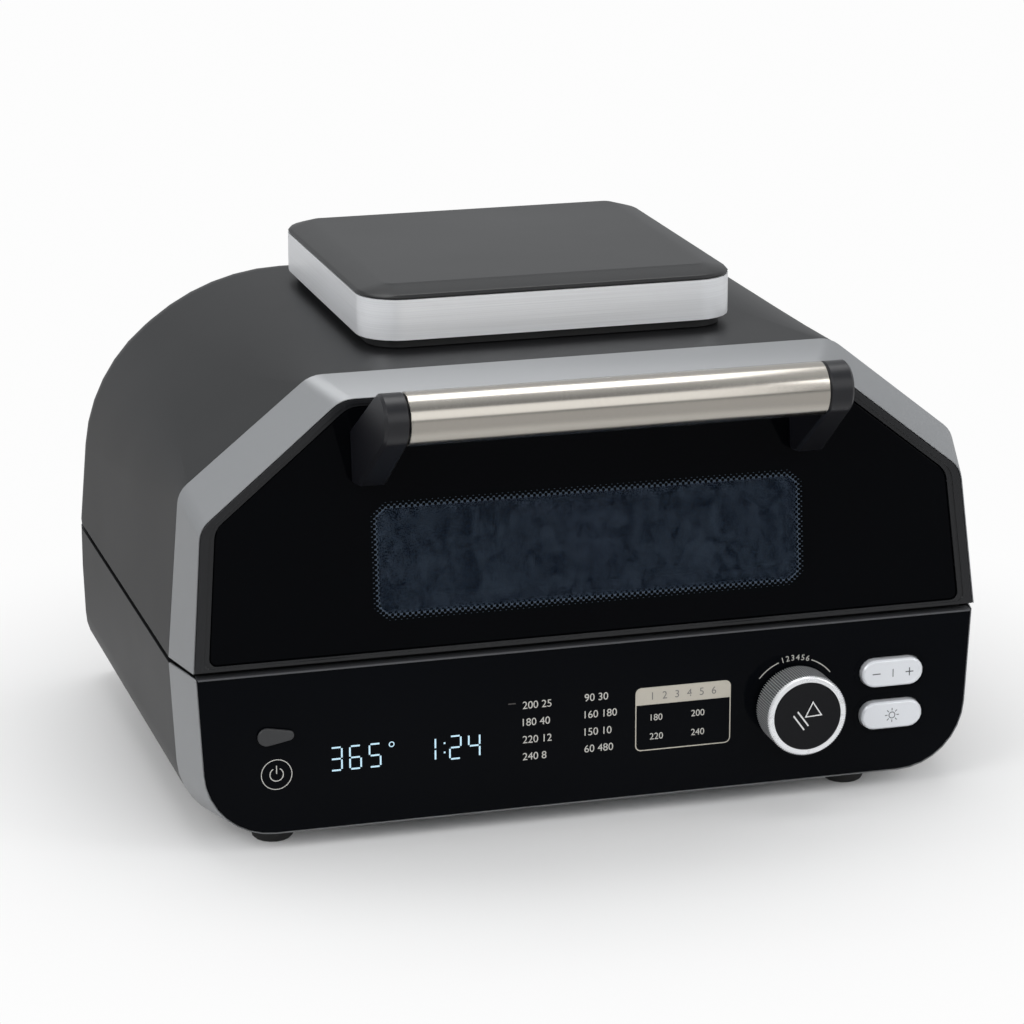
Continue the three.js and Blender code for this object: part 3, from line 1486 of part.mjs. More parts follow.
const lidPivot = group(grill, 0, hingeY, seamZ);
const lid = group(lidPivot, 0, -hingeY, -seamZ);
add(lid, 'lid_shell', lidShell(), blackSatin);
add(lid, 'lid_trim', lidTrim(), trimMetal);
add(lid, 'rear_vent', rearVent(), castBlack);
add(lid, 'top_plinth', topPlinth(), castBlack);
add(lid, 'top_band', topBand(), brushedMetal);
add(lid, 'top_cap', topCap(), blackSatin);
add(lid, 'lid_liner', lidLiner(), sheetMetal);
add(lid, 'lid_seal', lidSeal(), silicone);
add(lid, 'window_shroud', windowShroud(), castBlack);
add(lid, 'inner_pane', innerPane(), lensGlass);
add(lid, 'heating_element', heatingElement(), castBlack);
add(lid, 'heater_guard', heaterGuard(), sheetMetal);
add(lid, 'lamp_lens', lampLens(), lensGlass);
add(lid, 'lamp_holder', lampHolder(), sheetMetal);
add(lid, 'air_sensor', airSensor(), steel);

for (const [side, sign] of Object.entries(sides)) {
  add(lidPivot, `hinge_arm_${side}`, hingeArm(), sheetMetal).position.x = sign * hingeX;
}

const fanAxis = group(lid, 0, ovenCentreY, 0);
add(fanAxis, 'motor_bridge', motorBridge(), sheetMetal);
add(fanAxis, 'fan_motor', fanMotor(), sheetMetal);
add(fanAxis, 'fan_shaft', fanShaft(), steel);
add(fanAxis, 'hot_air_fan', hotFan(), sheetMetal);
add(fanAxis, 'cooling_fan', coolingFan(), castBlack);

const face = group(lid, 0, 0, seamZ);
face.rotation.x = Math.PI / 2 - faceLean;
add(face, 'lid_bezel', lidBezel(), castBlack);
add(face, 'lid_glass', lidGlass(), blackGloss);
add(face, 'handle_tube', handleTube(), steel);
for (const [side, sign] of Object.entries(sides)) {
  const bracket = handleBracket();
  if (sign < 0) {
    bracket.scale(sign, 1, 1);
  }
  add(face, `handle_bracket_${side}`, bracket, castBlack).position.x = (sign * handleLength) / 2;
}

export default grill;
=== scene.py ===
from functools import partial
from math import cos, degrees, radians, sin

import bpy
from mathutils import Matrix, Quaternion, Vector


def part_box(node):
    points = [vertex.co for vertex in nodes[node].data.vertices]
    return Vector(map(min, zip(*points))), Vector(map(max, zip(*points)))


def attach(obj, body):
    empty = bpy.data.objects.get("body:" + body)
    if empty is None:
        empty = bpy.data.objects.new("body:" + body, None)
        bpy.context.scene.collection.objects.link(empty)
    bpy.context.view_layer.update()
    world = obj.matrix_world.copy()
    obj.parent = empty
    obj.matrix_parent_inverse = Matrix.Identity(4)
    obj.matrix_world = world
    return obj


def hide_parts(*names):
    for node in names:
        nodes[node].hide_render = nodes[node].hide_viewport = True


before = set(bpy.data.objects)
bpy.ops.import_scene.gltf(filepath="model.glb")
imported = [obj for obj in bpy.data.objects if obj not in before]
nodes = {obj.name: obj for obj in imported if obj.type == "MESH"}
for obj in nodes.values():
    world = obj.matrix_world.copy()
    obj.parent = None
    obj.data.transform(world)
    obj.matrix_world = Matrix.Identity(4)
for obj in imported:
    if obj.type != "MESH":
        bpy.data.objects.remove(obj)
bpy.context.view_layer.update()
bpy.ops.object.select_all(action="DESELECT")
MM = 0.001

# Camera, floor and studio
# A long lens, a little to the left of the front and a little above it, as a catalogue picture is
# taken, over a pale floor, with four softboxes and an even sky.
camera_place = Vector((-0.5699, -1.9669, 0.7248))
camera_aim = Vector((0.00115, 0.01586, 0.1218))
camera_roll = radians(-0.102)

bpy.ops.object.camera_add(location=camera_place)
camera = bpy.context.object
camera.name = "camera"
camera.rotation_mode = "QUATERNION"
turn = (camera_aim - camera_place).to_track_quat("-Z", "Y")
camera.rotation_quaternion = turn @ Quaternion((0, 0, 1), camera_roll)
camera.data.lens = 138.4
camera.data.sensor_width = 36
bpy.context.scene.camera = camera
bpy.context.scene.view_settings.view_transform = "Standard"


def new_node(tree, kind, working="", **values):
    """A new node of a shader, with its way of working and the values of its unlinked sockets."""
    node = tree.nodes.new("ShaderNode" + kind)
    if working:
        way = {"MapRange": "interpolation_type", "Mix": "data_type"}.get(kind, "operation")
        setattr(node, way, working)
    for socket, value in values.items():
        node.inputs[socket.replace("_", " ")].default_value = value
    return node


def link(tree, *pairs):
    """Joins outputs to inputs, pair by pair."""
    for output, socket in pairs:
        tree.links.new(output, socket)


# The floor is shaded plainly under and near the object and fades to an even pale one further away.
# A mirror sees that half as bright.
floor_drop = 0.0003
plain_until, pale_from = 0.14, 0.45
pale_for_camera, pale_for_mirrors = 0.98, 0.5
bpy.ops.mesh.primitive_circle_add(vertices=64, radius=9, fill_type="NGON",
                                  location=(0, 0, -floor_drop))
floor = bpy.context.object
floor.name = "studio_floor"
floor_paint = bpy.data.materials.new("studio_floor_paint")
floor_paint.use_nodes = True
floor_tree = floor_paint.node_tree
floor_matt = floor_tree.nodes["Principled BSDF"]
floor_matt.inputs["Base Color"].default_value = (0.86, 0.86, 0.86, 1)
floor_matt.inputs["Roughness"].default_value = 0.9
floor_matt.inputs["Specular IOR Level"].default_value = 0.1
floor_place = new_node(floor_tree, "TexCoord")
floor_reach = new_node(floor_tree, "VectorMath", "LENGTH")
floor_fade = new_node(floor_tree, "MapRange", "SMOOTHSTEP",
                      From_Min=plain_until, From_Max=pale_from)
floor_path = new_node(floor_tree, "LightPath")
floor_seen = new_node(floor_tree, "Math", "MAXIMUM")
floor_both = new_node(floor_tree, "Math", "MULTIPLY")
floor_level = new_node(floor_tree, "MapRange", To_Min=pale_for_mirrors, To_Max=pale_for_camera)
floor_pale = new_node(floor_tree, "Emission", Color=(1, 1, 1, 1))
floor_mix = new_node(floor_tree, "MixShader")
link(floor_tree,
     (floor_place.outputs["Object"], floor_reach.inputs[0]),
     (floor_reach.outputs["Value"], floor_fade.inputs["Value"]),
     (floor_path.outputs["Is Camera Ray"], floor_seen.inputs[0]),
     (floor_path.outputs["Is Glossy Ray"], floor_seen.inputs[1]),
     (floor_seen.outputs[0], floor_both.inputs[0]),
     (floor_fade.outputs[0], floor_both.inputs[1]),
     (floor_path.outputs["Is Camera Ray"], floor_level.inputs["Value"]),
     (floor_level.outputs[0], floor_pale.inputs["Strength"]),
     (floor_both.outputs[0], floor_mix.inputs[0]),
     (floor_matt.outputs[0], floor_mix.inputs[1]),
     (floor_pale.outputs[0], floor_mix.inputs[2]),
     (floor_mix.outputs[0], floor_tree.nodes["Material Output"].inputs["Surface"]))
floor.data.materials.append(floor_paint)


def softbox(name, place, aim, width, height, watts):
    """A rectangular lamp turned to what it lights."""
    bpy.ops.object.light_add(type="AREA", location=place)
    lamp = bpy.context.object
    lamp.name = name
    lamp.data.shape = "RECTANGLE"
    lamp.data.size = width
    lamp.data.size_y = height
    lamp.data.energy = watts
    lamp.rotation_euler = (Vector(aim) - Vector(place)).to_track_quat("-Z", "Y").to_euler()


softbox("softbox_left", (-1.9, -1.3, 1.6), (0, 0, 0.12), 1.3, 1.3, 21)
softbox("softbox_right", (1.8, -1.5, 1.3), (0, 0, 0.12), 0.9, 1.4, 13)
softbox("softbox_top", (0.1, 0.5, 2.3), (0, 0, 0.1), 2.0, 1.2, 18)
softbox("softbox_front", (0.4, -3.4, 1.7), (0.1, 0, 0.3), 3.2, 2.3, 24)

# The camera sees a pale studio. Mirrors and glass see a duller one, darker in front of the object,
# as it is behind any camera. Everything else is lit by a weak even sky.
room_in_front, room_behind = 0.2, 0.55
sky = bpy.data.worlds.new("studio_sky")
bpy.context.scene.world = sky
sky.use_nodes = True
sky_tree = sky.node_tree
sky_tree.nodes.clear()
sky_path = new_node(sky_tree, "LightPath")
sky_mirror = new_node(sky_tree, "Math", "MAXIMUM")
sky_place = new_node(sky_tree, "TexCoord")
sky_split = new_node(sky_tree, "SeparateXYZ")
sky_front = new_node(sky_tree, "MapRange", "SMOOTHSTEP", From_Min=-0.8, From_Max=-0.1,
                     To_Min=room_in_front, To_Max=room_behind)
sky_light = new_node(sky_tree, "Background", Color=(0.98, 0.99, 1, 1), Strength=0.5)
sky_room = new_node(sky_tree, "Background", Color=(0.96, 0.98, 1, 1))
sky_pale = new_node(sky_tree, "Background", Color=(1, 1, 1, 1), Strength=pale_for_camera)
sky_inner = new_node(sky_tree, "MixShader")
sky_mix = new_node(sky_tree, "MixShader")
sky_out = new_node(sky_tree, "OutputWorld")
link(sky_tree,
     (sky_place.outputs["Generated"], sky_split.inputs[0]),
     (sky_split.outputs["Y"], sky_front.inputs["Value"]),
     (sky_front.outputs[0], sky_room.inputs["Strength"]),
     (sky_path.outputs["Is Glossy Ray"], sky_mirror.inputs[0]),
     (sky_path.outputs["Is Transmission Ray"], sky_mirror.inputs[1]),
     (sky_mirror.outputs[0], sky_inner.inputs[0]),
     (sky_light.outputs[0], sky_inner.inputs[1]),
     (sky_room.outputs[0], sky_inner.inputs[2]),
     (sky_path.outputs["Is Camera Ray"], sky_mix.inputs[0]),
     (sky_inner.outputs[0], sky_mix.inputs[1]),
     (sky_pale.outputs[0], sky_mix.inputs[2]),
     (sky_mix.outputs[0], sky_out.inputs["Surface"]))


# Base shell
# Moulded tray of charcoal ABS with a fine satin spark finish; it carries everything else.
# Its finish shows a fine grain and very broad, faint patches where it has been handled.
def new_group(name, inputs, outputs):
    """An empty node group with its named sockets, and the two ends inside it."""
    tree = bpy.data.node_groups.new(name, "ShaderNodeTree")
    for socket, (kind, value) in inputs.items():
        made = tree.interface.new_socket(socket, in_out="INPUT", socket_type="NodeSocket" + kind)
        made.default_value = value
    for socket, kind in outputs.items():
        tree.interface.new_socket(socket, in_out="OUTPUT", socket_type="NodeSocket" + kind)
    return tree, tree.nodes.new("NodeGroupInput").outputs, tree.nodes.new("NodeGroupOutput").inputs


def sum_in(tree, kind, *terms):
    """The result of a sum in a group. Each term is a number or an output of another node."""
    node = new_node(tree, "Math", kind)
    for socket, term in zip(node.inputs, terms):
        if isinstance(term, (int, float)):
            socket.default_value = term
        else:
            tree.links.new(term, socket)
    return node.outputs[0]


def wear_group():
    """Colour, roughness and height of a surface: fine grain, and broad patches that differ."""
    tree, given, result = new_group(
        "grain_and_patches",
        {"Grain Place": ("Vector", (0, 0, 0)), "Patch Place": ("Vector", (0, 0, 0)),
         "Colour": ("Color", (0.5, 0.5, 0.5, 1)), "Roughness": ("Float", 0.5),
         "Grain Scale": ("Float", 900), "Patch Scale": ("Float", 8), "Grain Tint": ("Float", 0.05),
         "Patch Tint": ("Float", 0.05), "Roughness Spread": ("Float", 0.05)},
        {"Colour": "Color", "Roughness": "Float", "Height": "Float"})
    sum_of = partial(sum_in, tree)

    def cloud(place, scale, detail, roughness):
        node = new_node(tree, "TexNoise", Detail=detail, Roughness=roughness)
        link(tree, (given[place], node.inputs["Vector"]), (given[scale], node.inputs["Scale"]))
        return node.outputs["Fac"]

    grain = cloud("Grain Place", "Grain Scale", 3, 0.6)
    patch = cloud("Patch Place", "Patch Scale", 4, 0.55)
    grain_swing = sum_of("MULTIPLY_ADD", grain, 2, -1)
    patch_swing = sum_of("MULTIPLY_ADD", patch, 2, -1)
    light = sum_of("MULTIPLY_ADD", grain_swing, given["Grain Tint"], 1)
    light = sum_of("MULTIPLY_ADD", patch_swing, given["Patch Tint"], light)
    tint = new_node(tree, "VectorMath", "SCALE")
    swing = sum_of("ADD", patch_swing, sum_of("MULTIPLY", grain_swing, 0.5))
    rough = sum_of("MULTIPLY_ADD", swing, given["Roughness Spread"], given["Roughness"])
    link(tree, (given["Colour"], tint.inputs[0]), (light, tint.inputs["Scale"]),
         (tint.outputs["Vector"], result["Colour"]), (rough, result["Roughness"]),
         (grain, result["Height"]))
    return tree


grain_and_patches = wear_group()


def finish_of(name, colour, roughness, metallic=0.0, grain=900, patch=8, grain_tint=0.05,
              patch_tint=0.05, spread=0.05, bump=0.00002, stretch=(1, 1, 1), **sockets):
    """A material from the shared grain group; stretch draws the grain out, as brushing does."""
    made = bpy.data.materials.new(name)
    made.use_nodes = True
    tree = made.node_tree
    shader = tree.nodes["Principled BSDF"]
    shader.inputs["Metallic"].default_value = metallic
    for socket, value in sockets.items():
        shader.inputs[socket.replace("_", " ")].default_value = value
    place = new_node(tree, "TexCoord").outputs["Object"]
    drawn = new_node(tree, "Mapping", Scale=stretch)
    wear = tree.nodes.new("ShaderNodeGroup")
    wear.name = "wear"
    wear.node_tree = grain_and_patches
    for socket, value in (("Colour", (*colour, 1)), ("Roughness", roughness),
                          ("Grain Scale", grain), ("Patch Scale", patch),
                          ("Grain Tint", grain_tint), ("Patch Tint", patch_tint),
                          ("Roughness Spread", spread)):
        wear.inputs[socket].default_value = value
    relief = new_node(tree, "Bump", Strength=1, Distance=bump)
    link(tree, (place, drawn.inputs["Vector"]),
         (drawn.outputs["Vector"], wear.inputs["Grain Place"]),
         (place, wear.inputs["Patch Place"]),
         (wear.outputs["Colour"], shader.inputs["Base Color"]),
         (wear.outputs["Roughness"], shader.inputs["Roughness"]),
         (wear.outputs["Height"], relief.inputs["Height"]),
         (relief.outputs["Normal"], shader.inputs["Normal"]))
    return made


merge_within, flat_within, edge_over = 0.00001, radians(0.4), radians(32)


def dress(node, finish, edge, thin_ring=False):
    """Gives a node of the model its finish and a softened edge. Its own mesh stays as it is."""
    piece = nodes[node]
    piece.data.materials.clear()
    piece.data.materials.append(finish)
    loose_normals = piece.data.attributes.get("custom_normal")
    if loose_normals:
        piece.data.attributes.remove(loose_normals)
    piece.data.shade_smooth()
    weld = piece.modifiers.new("weld", "WELD")
    weld.merge_threshold = merge_within
    if not thin_ring:
        flat = piece.modifiers.new("flat", "DECIMATE")
        flat.decimate_type = "DISSOLVE"
        flat.angle_limit = flat_within
    if edge:
        round_off = piece.modifiers.new("edge", "BEVEL")
        round_off.width = edge
        round_off.segments = 2
        round_off.limit_method = "ANGLE"
        round_off.angle_limit = edge_over
        round_off.harden_normals = True
    even = piece.modifiers.new("normals", "WEIGHTED_NORMAL")
    even.keep_sharp = True


shell_satin = finish_of("shell_satin", (0.011, 0.0113, 0.0123), 0.42, grain=1500, patch=6,
                        grain_tint=0.12, bump=0.000025, Specular_IOR_Level=0.27)
dress("base_shell", shell_satin, 0.0006)

# Base trim
# Flared band of ABS in a satin silver metallic paint, between the shell and the control panel.
# The rail on top of the panel wears a darker coat of the same paint.
silver_paint = finish_of("silver_paint", (0.315, 0.323, 0.333), 0.36, metallic=0.45, grain=3500,
                         patch=9, grain_tint=0.1, patch_tint=0.03, spread=0.04, bump=0.000006)
dress("base_trim", silver_paint, 0, thin_ring=True)
rail_satin = finish_of("rail_satin", (0.07, 0.072, 0.078), 0.32, metallic=0.3, grain=3000, patch=12,
                       grain_tint=0.1, spread=0.04, bump=0.000006)
dress("panel_rail", rail_satin, 0.0002)


# Control panel
# One moulding in high-gloss black, flat in front, with bosses for the board behind it. Its signs
# are silk-screened plain numbers and bars, and the display glows through it.
def fresh(kind, **sizes):
    """A new primitive, alone in the selection."""
    bpy.ops.object.select_all(action="DESELECT")
    getattr(bpy.ops.mesh, "primitive_" + kind + "_add")(**sizes)
    return bpy.context.object


def in_edit(piece, kind, chosen, *steps):
    """Edit mode steps on the vertices or faces of a piece that chosen picks."""
    bpy.context.view_layer.objects.active = piece
    bpy.ops.object.mode_set(mode="EDIT")
    bpy.ops.mesh.select_mode(type=kind)
    bpy.ops.mesh.select_all(action="DESELECT")
    bpy.ops.object.mode_set(mode="OBJECT")
    for element in (piece.data.vertices if kind == "VERT" else piece.data.polygons):
        element.select = chosen(element)
    bpy.ops.object.mode_set(mode="EDIT")
    for operator, settings in steps:
        operator(**settings)
    bpy.ops.object.mode_set(mode="OBJECT")


def flat_bar(x, z, width, height, lean=0.0):
    """A bar of a printed sign. Signs are drawn in mm on the XY plane and stood up later."""
    bar = fresh("plane", size=1, location=(x, z, 0), rotation=(0, 0, lean))
    bar.scale = (width, height, 1)
    bpy.ops.object.transform_apply()
    return bar


def flat_ring(x, z, radius, line, arcs=None, steps=72):
    """A printed ring, or arcs of it, each given as a pair of angles in degrees from +X."""
    ring = fresh("circle", vertices=steps, radius=radius, fill_type="NGON", location=(x, z, 0))
    bpy.ops.object.transform_apply()
    in_edit(ring, "FACE", lambda face: True, (bpy.ops.mesh.inset, {"thickness": line}),
            (bpy.ops.mesh.delete, {"type": "FACE"}))

    def off_arcs(face):
        out = Vector((face.center.x - x, face.center.y - z))
        angle = -degrees(Vector((1, 0)).angle_signed(out)) % 360
        return not any(start < angle < end for start, end in arcs)

    if arcs:
        in_edit(ring, "FACE", off_arcs, (bpy.ops.mesh.delete, {"type": "FACE"}))
    return ring


def flat_frame(x, z, width, height, corner, line=None, top_only=False):
    """A printed rounded rectangle, filled or drawn as a line."""
    board = flat_bar(x, z, width, height)
    in_edit(board, "VERT", lambda vertex: vertex.co.y > z or not top_only,
            (bpy.ops.mesh.bevel, {"offset": corner, "segments": 8, "affect": "VERTICES"}))
    if line:
        in_edit(board, "FACE", lambda face: True, (bpy.ops.mesh.inset, {"thickness": line}),
                (bpy.ops.mesh.delete, {"type": "FACE"}))
    return board


def flat_text(figures, x, z, height, middle=False):
    """Plain numbers of a given height, from a lower left corner or round a middle."""
    bpy.ops.object.select_all(action="DESELECT")
    bpy.ops.object.text_add()
    bpy.context.object.data.body = figures
    bpy.ops.object.convert(target="MESH")
    text = bpy.context.object
    corners = [vertex.co for vertex in text.data.vertices]
    low = Vector((min(c.x for c in corners), min(c.y for c in corners), 0))
    size = Vector((max(c.x for c in corners), max(c.y for c in corners), 0)) - low
    rise = height / size.y
    text.location = (x - low.x * rise - (size.x * rise / 2 if middle else 0),
                     z - low.y * rise - (height / 2 if middle else 0), 0)
    text.scale = (rise, rise, 1)
    bpy.ops.object.transform_apply()
    return text


def stand_up(name, shapes, finish, body, slot, surface, proud=0.03, about=(0, 0, 0)):
    """Joins flat shapes into one thin print and stands it on a surface that faces the front."""
    bpy.ops.object.select_all(action="DESELECT")
    for shape in shapes:
        shape.select_set(True)
    bpy.context.view_layer.objects.active = shapes[0]
    if len(shapes) > 1:
        bpy.ops.object.join()
    print_ = bpy.context.object
    print_.name = print_.data.name = name
    print_.scale = (MM, MM, MM)
    bpy.ops.object.transform_apply()
    print_.rotation_euler = (radians(90), 0, 0)
    print_.location = (about[0], surface + sunk, about[2])
    bpy.ops.object.transform_apply()
    ink = print_.modifiers.new("ink", "SOLIDIFY")
    ink.thickness = proud * MM + sunk
    ink.offset = 1
    bpy.ops.object.modifier_apply(modifier="ink")
    print_.data.materials.clear()
    print_.data.materials.append(finish)
    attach(print_, body)


sunk = 0.00002  # prints reach this far into the surface that they stand on
panel_black = finish_of("panel_black", (0.0016, 0.002, 0.003), 0.045, grain=60, patch=14,
                        grain_tint=0, patch_tint=0.2, spread=0.02, bump=0.000002, IOR=1.14)
dress("control_panel", panel_black, 0.0003)

on_panel = partial(stand_up, body="base", slot="panel_gloss", surface=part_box("control_panel")[0].y)
seam = 97.0  # height of the joint between lid and base, in mm: signs are placed down from it
printed = {"grain": 2500, "patch": 60, "patch_tint": 0.1, "bump": 0.000004}
ink_pale = finish_of("ink_pale", (0.5, 0.49, 0.46), 0.55, grain_tint=0.15, **printed)
ink_dim = finish_of("ink_dim", (0.05, 0.045, 0.043), 0.5, grain_tint=0.15, **printed)
ink_grey = finish_of("ink_grey", (0.16, 0.155, 0.15), 0.55, grain_tint=0.15, **printed)
ink_beige = finish_of("ink_beige", (0.47, 0.44, 0.38), 0.55, grain=2500, patch=40, grain_tint=0.12,
                      patch_tint=0.08, bump=0.000004)
display_glow = finish_of("display_glow", (0.3, 0.42, 0.5), 0.5, grain_tint=0.1,
                         Emission_Color=(0.42, 0.62, 0.72, 1), Emission_Strength=0.75, **printed)

power_x, power_z = -167.3, seam - 55.6
on_panel("power_sign", [flat_ring(power_x, power_z, 8.1, 0.42),
                        flat_ring(power_x, power_z, 3.7, 0.5, arcs=((0, 58), (122, 360))),
                        flat_bar(power_x, power_z + 2.6, 0.5, 4.4)], ink_pale)

# A reading of seven-segment digits, with the colon and the degree ring between and beside them
segments = {"1": "bc", "2": "abged", "3": "abgcd", "4": "fgbc", "5": "afgcd", "6": "afgedc"}
digit_wide, digit_high, segment, segment_gap = 6.6, 13.0, 0.85, 0.55
digit_foot = seam - 56.9


def digit(figure, x, z):
    """One figure, lower left corner at x, z."""
    across = digit_wide - segment - 2 * segment_gap
    up = digit_high / 2 - segment / 2 - 2 * segment_gap
    left, right, mid = x + segment / 2, x + digit_wide - segment / 2, x + digit_wide / 2
    low, half, high = z + segment / 2, z + digit_high / 2, z + digit_high - segment / 2
    bars = {"a": (mid, high, across, segment), "d": (mid, low, across, segment),
            "g": (mid, half, across, segment),
            "f": (left, (half + high) / 2, segment, up),
            "b": (right, (half + high) / 2, segment, up),
            "e": (left, (low + half) / 2, segment, up),
            "c": (right, (low + half) / 2, segment, up)}
    return [flat_bar(*bars[name]) for name in segments[figure]]


reading = []
for figure, x in (("3", -139.6), ("6", -129.6), ("5", -119.4),
                  ("1", -90.6), ("2", -77.2), ("4", -67.2)):
    reading += digit(figure, x, digit_foot)
reading += [flat_bar(-79.6, seam - 47.6, 0.9, 0.9), flat_bar(-79.6, seam - 52.6, 0.9, 0.9),
            flat_ring(-107.4, seam - 45.4, 1.5, 0.5, steps=24)]
on_panel("display_reading", reading, display_glow)

# Two columns of numbers, the right one a little higher, and a mark beside the first
numbers_high, rows_down = 4.0, (33.4, 42.6, 52.0, 61.2)
programmes = []
for left, raised, column in ((-38.1, 0, ("200 25", "180 40", "220 12", "240 8")),
                             (-5.0, 0.9, ("90 30", "160 180", "150 10", "60 480"))):
    for down, figures in zip(rows_down, column):
        programmes.append(flat_text(figures, left, seam - down + raised, numbers_high))
on_panel("programme_numbers", programmes, ink_pale)
on_panel("programme_pointer", [flat_bar(-43.8, seam - 30, 4.0, 0.6)], ink_dim)

# A framed box: a filled head with a row of figures, and four numbers below it
box_x, box_wide, box_corner = 48.35, 51.9, 3.2
grill_box = [flat_frame(box_x, seam - 45.4, box_wide, 34.4, box_corner, line=0.55)]
grill_head = [flat_frame(box_x, seam - 32.9, box_wide, 9.4, box_corner, top_only=True)]
grill_scale = [flat_text(figure, 31.6 + 6.7 * step, seam - 33.0, 4.0, middle=True)
               for step, figure in enumerate("123456")]
grill_numbers = [flat_text(figures, x, seam - down, 3.5, middle=True) for figures, x, down in (
    ("180", 33.9, 44.7), ("200", 56.4, 44.5), ("220", 33.9, 55.0), ("240", 56.4, 54.9))]
on_panel("grill_box_line", grill_box, ink_beige)
on_panel("grill_box_head", grill_head, ink_beige, proud=0.034)
on_panel("grill_box_scale", grill_scale, ink_grey, proud=0.06)
on_panel("grill_box_numbers", grill_numbers, ink_pale)

# Round the dial, a scale of plain numbers between two arcs
dial_x, dial_z = 109.5, seam - 45.0
scale_radius, first_at, step_by = 25.6, 15.6, 6.3  # mm, and degrees from upright
scale_marks = []
for step, figure in enumerate("123456"):
    angle = radians(90 + first_at - step_by * step)
    mark = flat_text(figure, 0, 0, 3.0, middle=True)
    mark.rotation_euler.z = angle - radians(90)
    mark.location = (dial_x + scale_radius * cos(angle), dial_z + scale_radius * sin(angle), 0)
    bpy.ops.object.transform_apply()
    scale_marks.append(mark)
scale_marks.append(flat_ring(dial_x, dial_z, 25.4, 0.5, arcs=((38, 69), (111, 142)), steps=120))
on_panel("dial_scale", scale_marks, ink_pale)

# Feet
# Four round pads of black rubber, each moulded in one piece and pressed into the underside of the
# base. The two in front stand at unequal distances from the middle.
foot_rubber = finish_of("foot_rubber", (0.012, 0.012, 0.012), 0.75, grain=700, patch=60,
                        grain_tint=0.2, patch_tint=0.3, spread=0.08, bump=0.00006)
for foot in ("foot_front_left", "foot_front_right", "foot_rear_left", "foot_rear_right"):
    dress(foot, foot_rubber, 0.0003)

# Boards and parts inside the base
# Bare glass-fibre boards with moulded black parts; none of them shows when the grill is whole.
board_green = finish_of("board_green", (0.012, 0.07, 0.03), 0.4, grain=1200, patch=120,
                        grain_tint=0.2, patch_tint=0.5, spread=0.08, bump=0.00003)
moulded_black = finish_of("moulded_black", (0.011, 0.0115, 0.0125), 0.46, grain=1400, patch=10,
                          grain_tint=0.15, patch_tint=0.08, spread=0.06, bump=0.00003)
for part in ("control_board", "power_board"):
    dress(part, board_green, 0)
for part in ("display_module", "dial_encoder", "upper_switch", "lower_switch", "probe_jack",
             "cord_gland", "deck_frame", "dial_spindle"):
    dress(part, moulded_black, 0.0002)

# Dial
# A turned metal ring, knurled round its side and polished in front, with a gloss black cap pressed
# into its face. The play and pause sign is printed on the cap.
dial_metal = finish_of("dial_metal", (0.92, 0.93, 0.95), 0.28, metallic=0.55, grain=2500, patch=40,
                       grain_tint=0.04, patch_tint=0.04, bump=0.000003)
# A darker copy of the knurl's finish, which paints the shade that falls on the slopes and in the
# grooves
knurl_painted_shade = finish_of("knurl_painted_shade", (0.34, 0.35, 0.36), 0.4, metallic=0.6, grain=2500,
                         patch=40, grain_tint=0.06, patch_tint=0.06, spread=0.06, bump=0.000004)
knurl_satin = finish_of("knurl_satin", (0.85, 0.87, 0.89), 0.34, metallic=0.5, grain=2500, patch=40,
                        grain_tint=0.06, patch_tint=0.06, spread=0.06, bump=0.000004)
cap_gloss = finish_of("cap_gloss", (0.002, 0.0022, 0.0035), 0.06, grain=60, patch=30, grain_tint=0,
                      patch_tint=0.2, spread=0.02, bump=0.000002, IOR=1.33)
dress("dial_cap", cap_gloss, 0.0003)
ring_low, ring_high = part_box("dial_ring")
ring_out = (ring_high.x - ring_low.x) / 2
ring_centre = Vector(((ring_high.x + ring_low.x) / 2, 0, (ring_high.z + ring_low.z) / 2))
cap_low, cap_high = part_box("dial_cap")
cap_out = (cap_high.x - cap_low.x) / 2

ridge_count, groove_share = 104, 0.952
sunk_side, side_short, chamfer_high, chamfer_share = 0.00002, 0.0011, 0.0003, 0.965
length = ring_high.y - ring_low.y
dial_side = fresh("circle", vertices=4 * ridge_count, radius=ring_out - sunk_side,
                  fill_type="NOTHING")
in_edit(dial_side, "VERT", lambda vertex: vertex.index % 4 > 1,
        (bpy.ops.transform.resize, {"value": (groove_share, groove_share, 1)}))
in_edit(dial_side, "VERT", lambda vertex: True,
        (bpy.ops.mesh.extrude_region_move,
         {"TRANSFORM_OT_translate": {"value": (0, 0, length - side_short)}}),
        (bpy.ops.mesh.extrude_region_move,
         {"TRANSFORM_OT_translate": {"value": (0, 0, chamfer_high)}}),
        (bpy.ops.transform.resize, {"value": (chamfer_share, chamfer_share, 1)}))
dial_side.name = dial_side.data.name = "dial_side"


def turned(name, profile, steps=128):
    """A ring or disc turned about Z from a profile of pairs of radius and height."""
    piece = fresh("plane", size=1)
    in_edit(piece, "VERT", lambda vertex: vertex.index > 0, (bpy.ops.mesh.delete, {"type": "VERT"}))
    piece.data.vertices[0].co = (profile[0][0], 0, profile[0][1])
    moves = []
    for (r0, h0), (r1, h1) in zip(profile, profile[1:]):
        moves.append((bpy.ops.mesh.extrude_region_move,
                      {"TRANSFORM_OT_translate": {"value": (r1 - r0, 0, h1 - h0)}}))
    in_edit(piece, "VERT", lambda vertex: True, *moves)
    in_edit(piece, "VERT", lambda vertex: True,
            (bpy.ops.mesh.spin, {"steps": steps, "angle": radians(360), "center": (0, 0, 0),
                                 "axis": (0, 0, 1)}),
            (bpy.ops.mesh.select_all, {"action": "SELECT"}),
            (bpy.ops.mesh.remove_doubles, {"threshold": 0.000002}),
            (bpy.ops.mesh.normals_make_consistent, {"inside": False}))
    piece.name = piece.data.name = name
    return piece


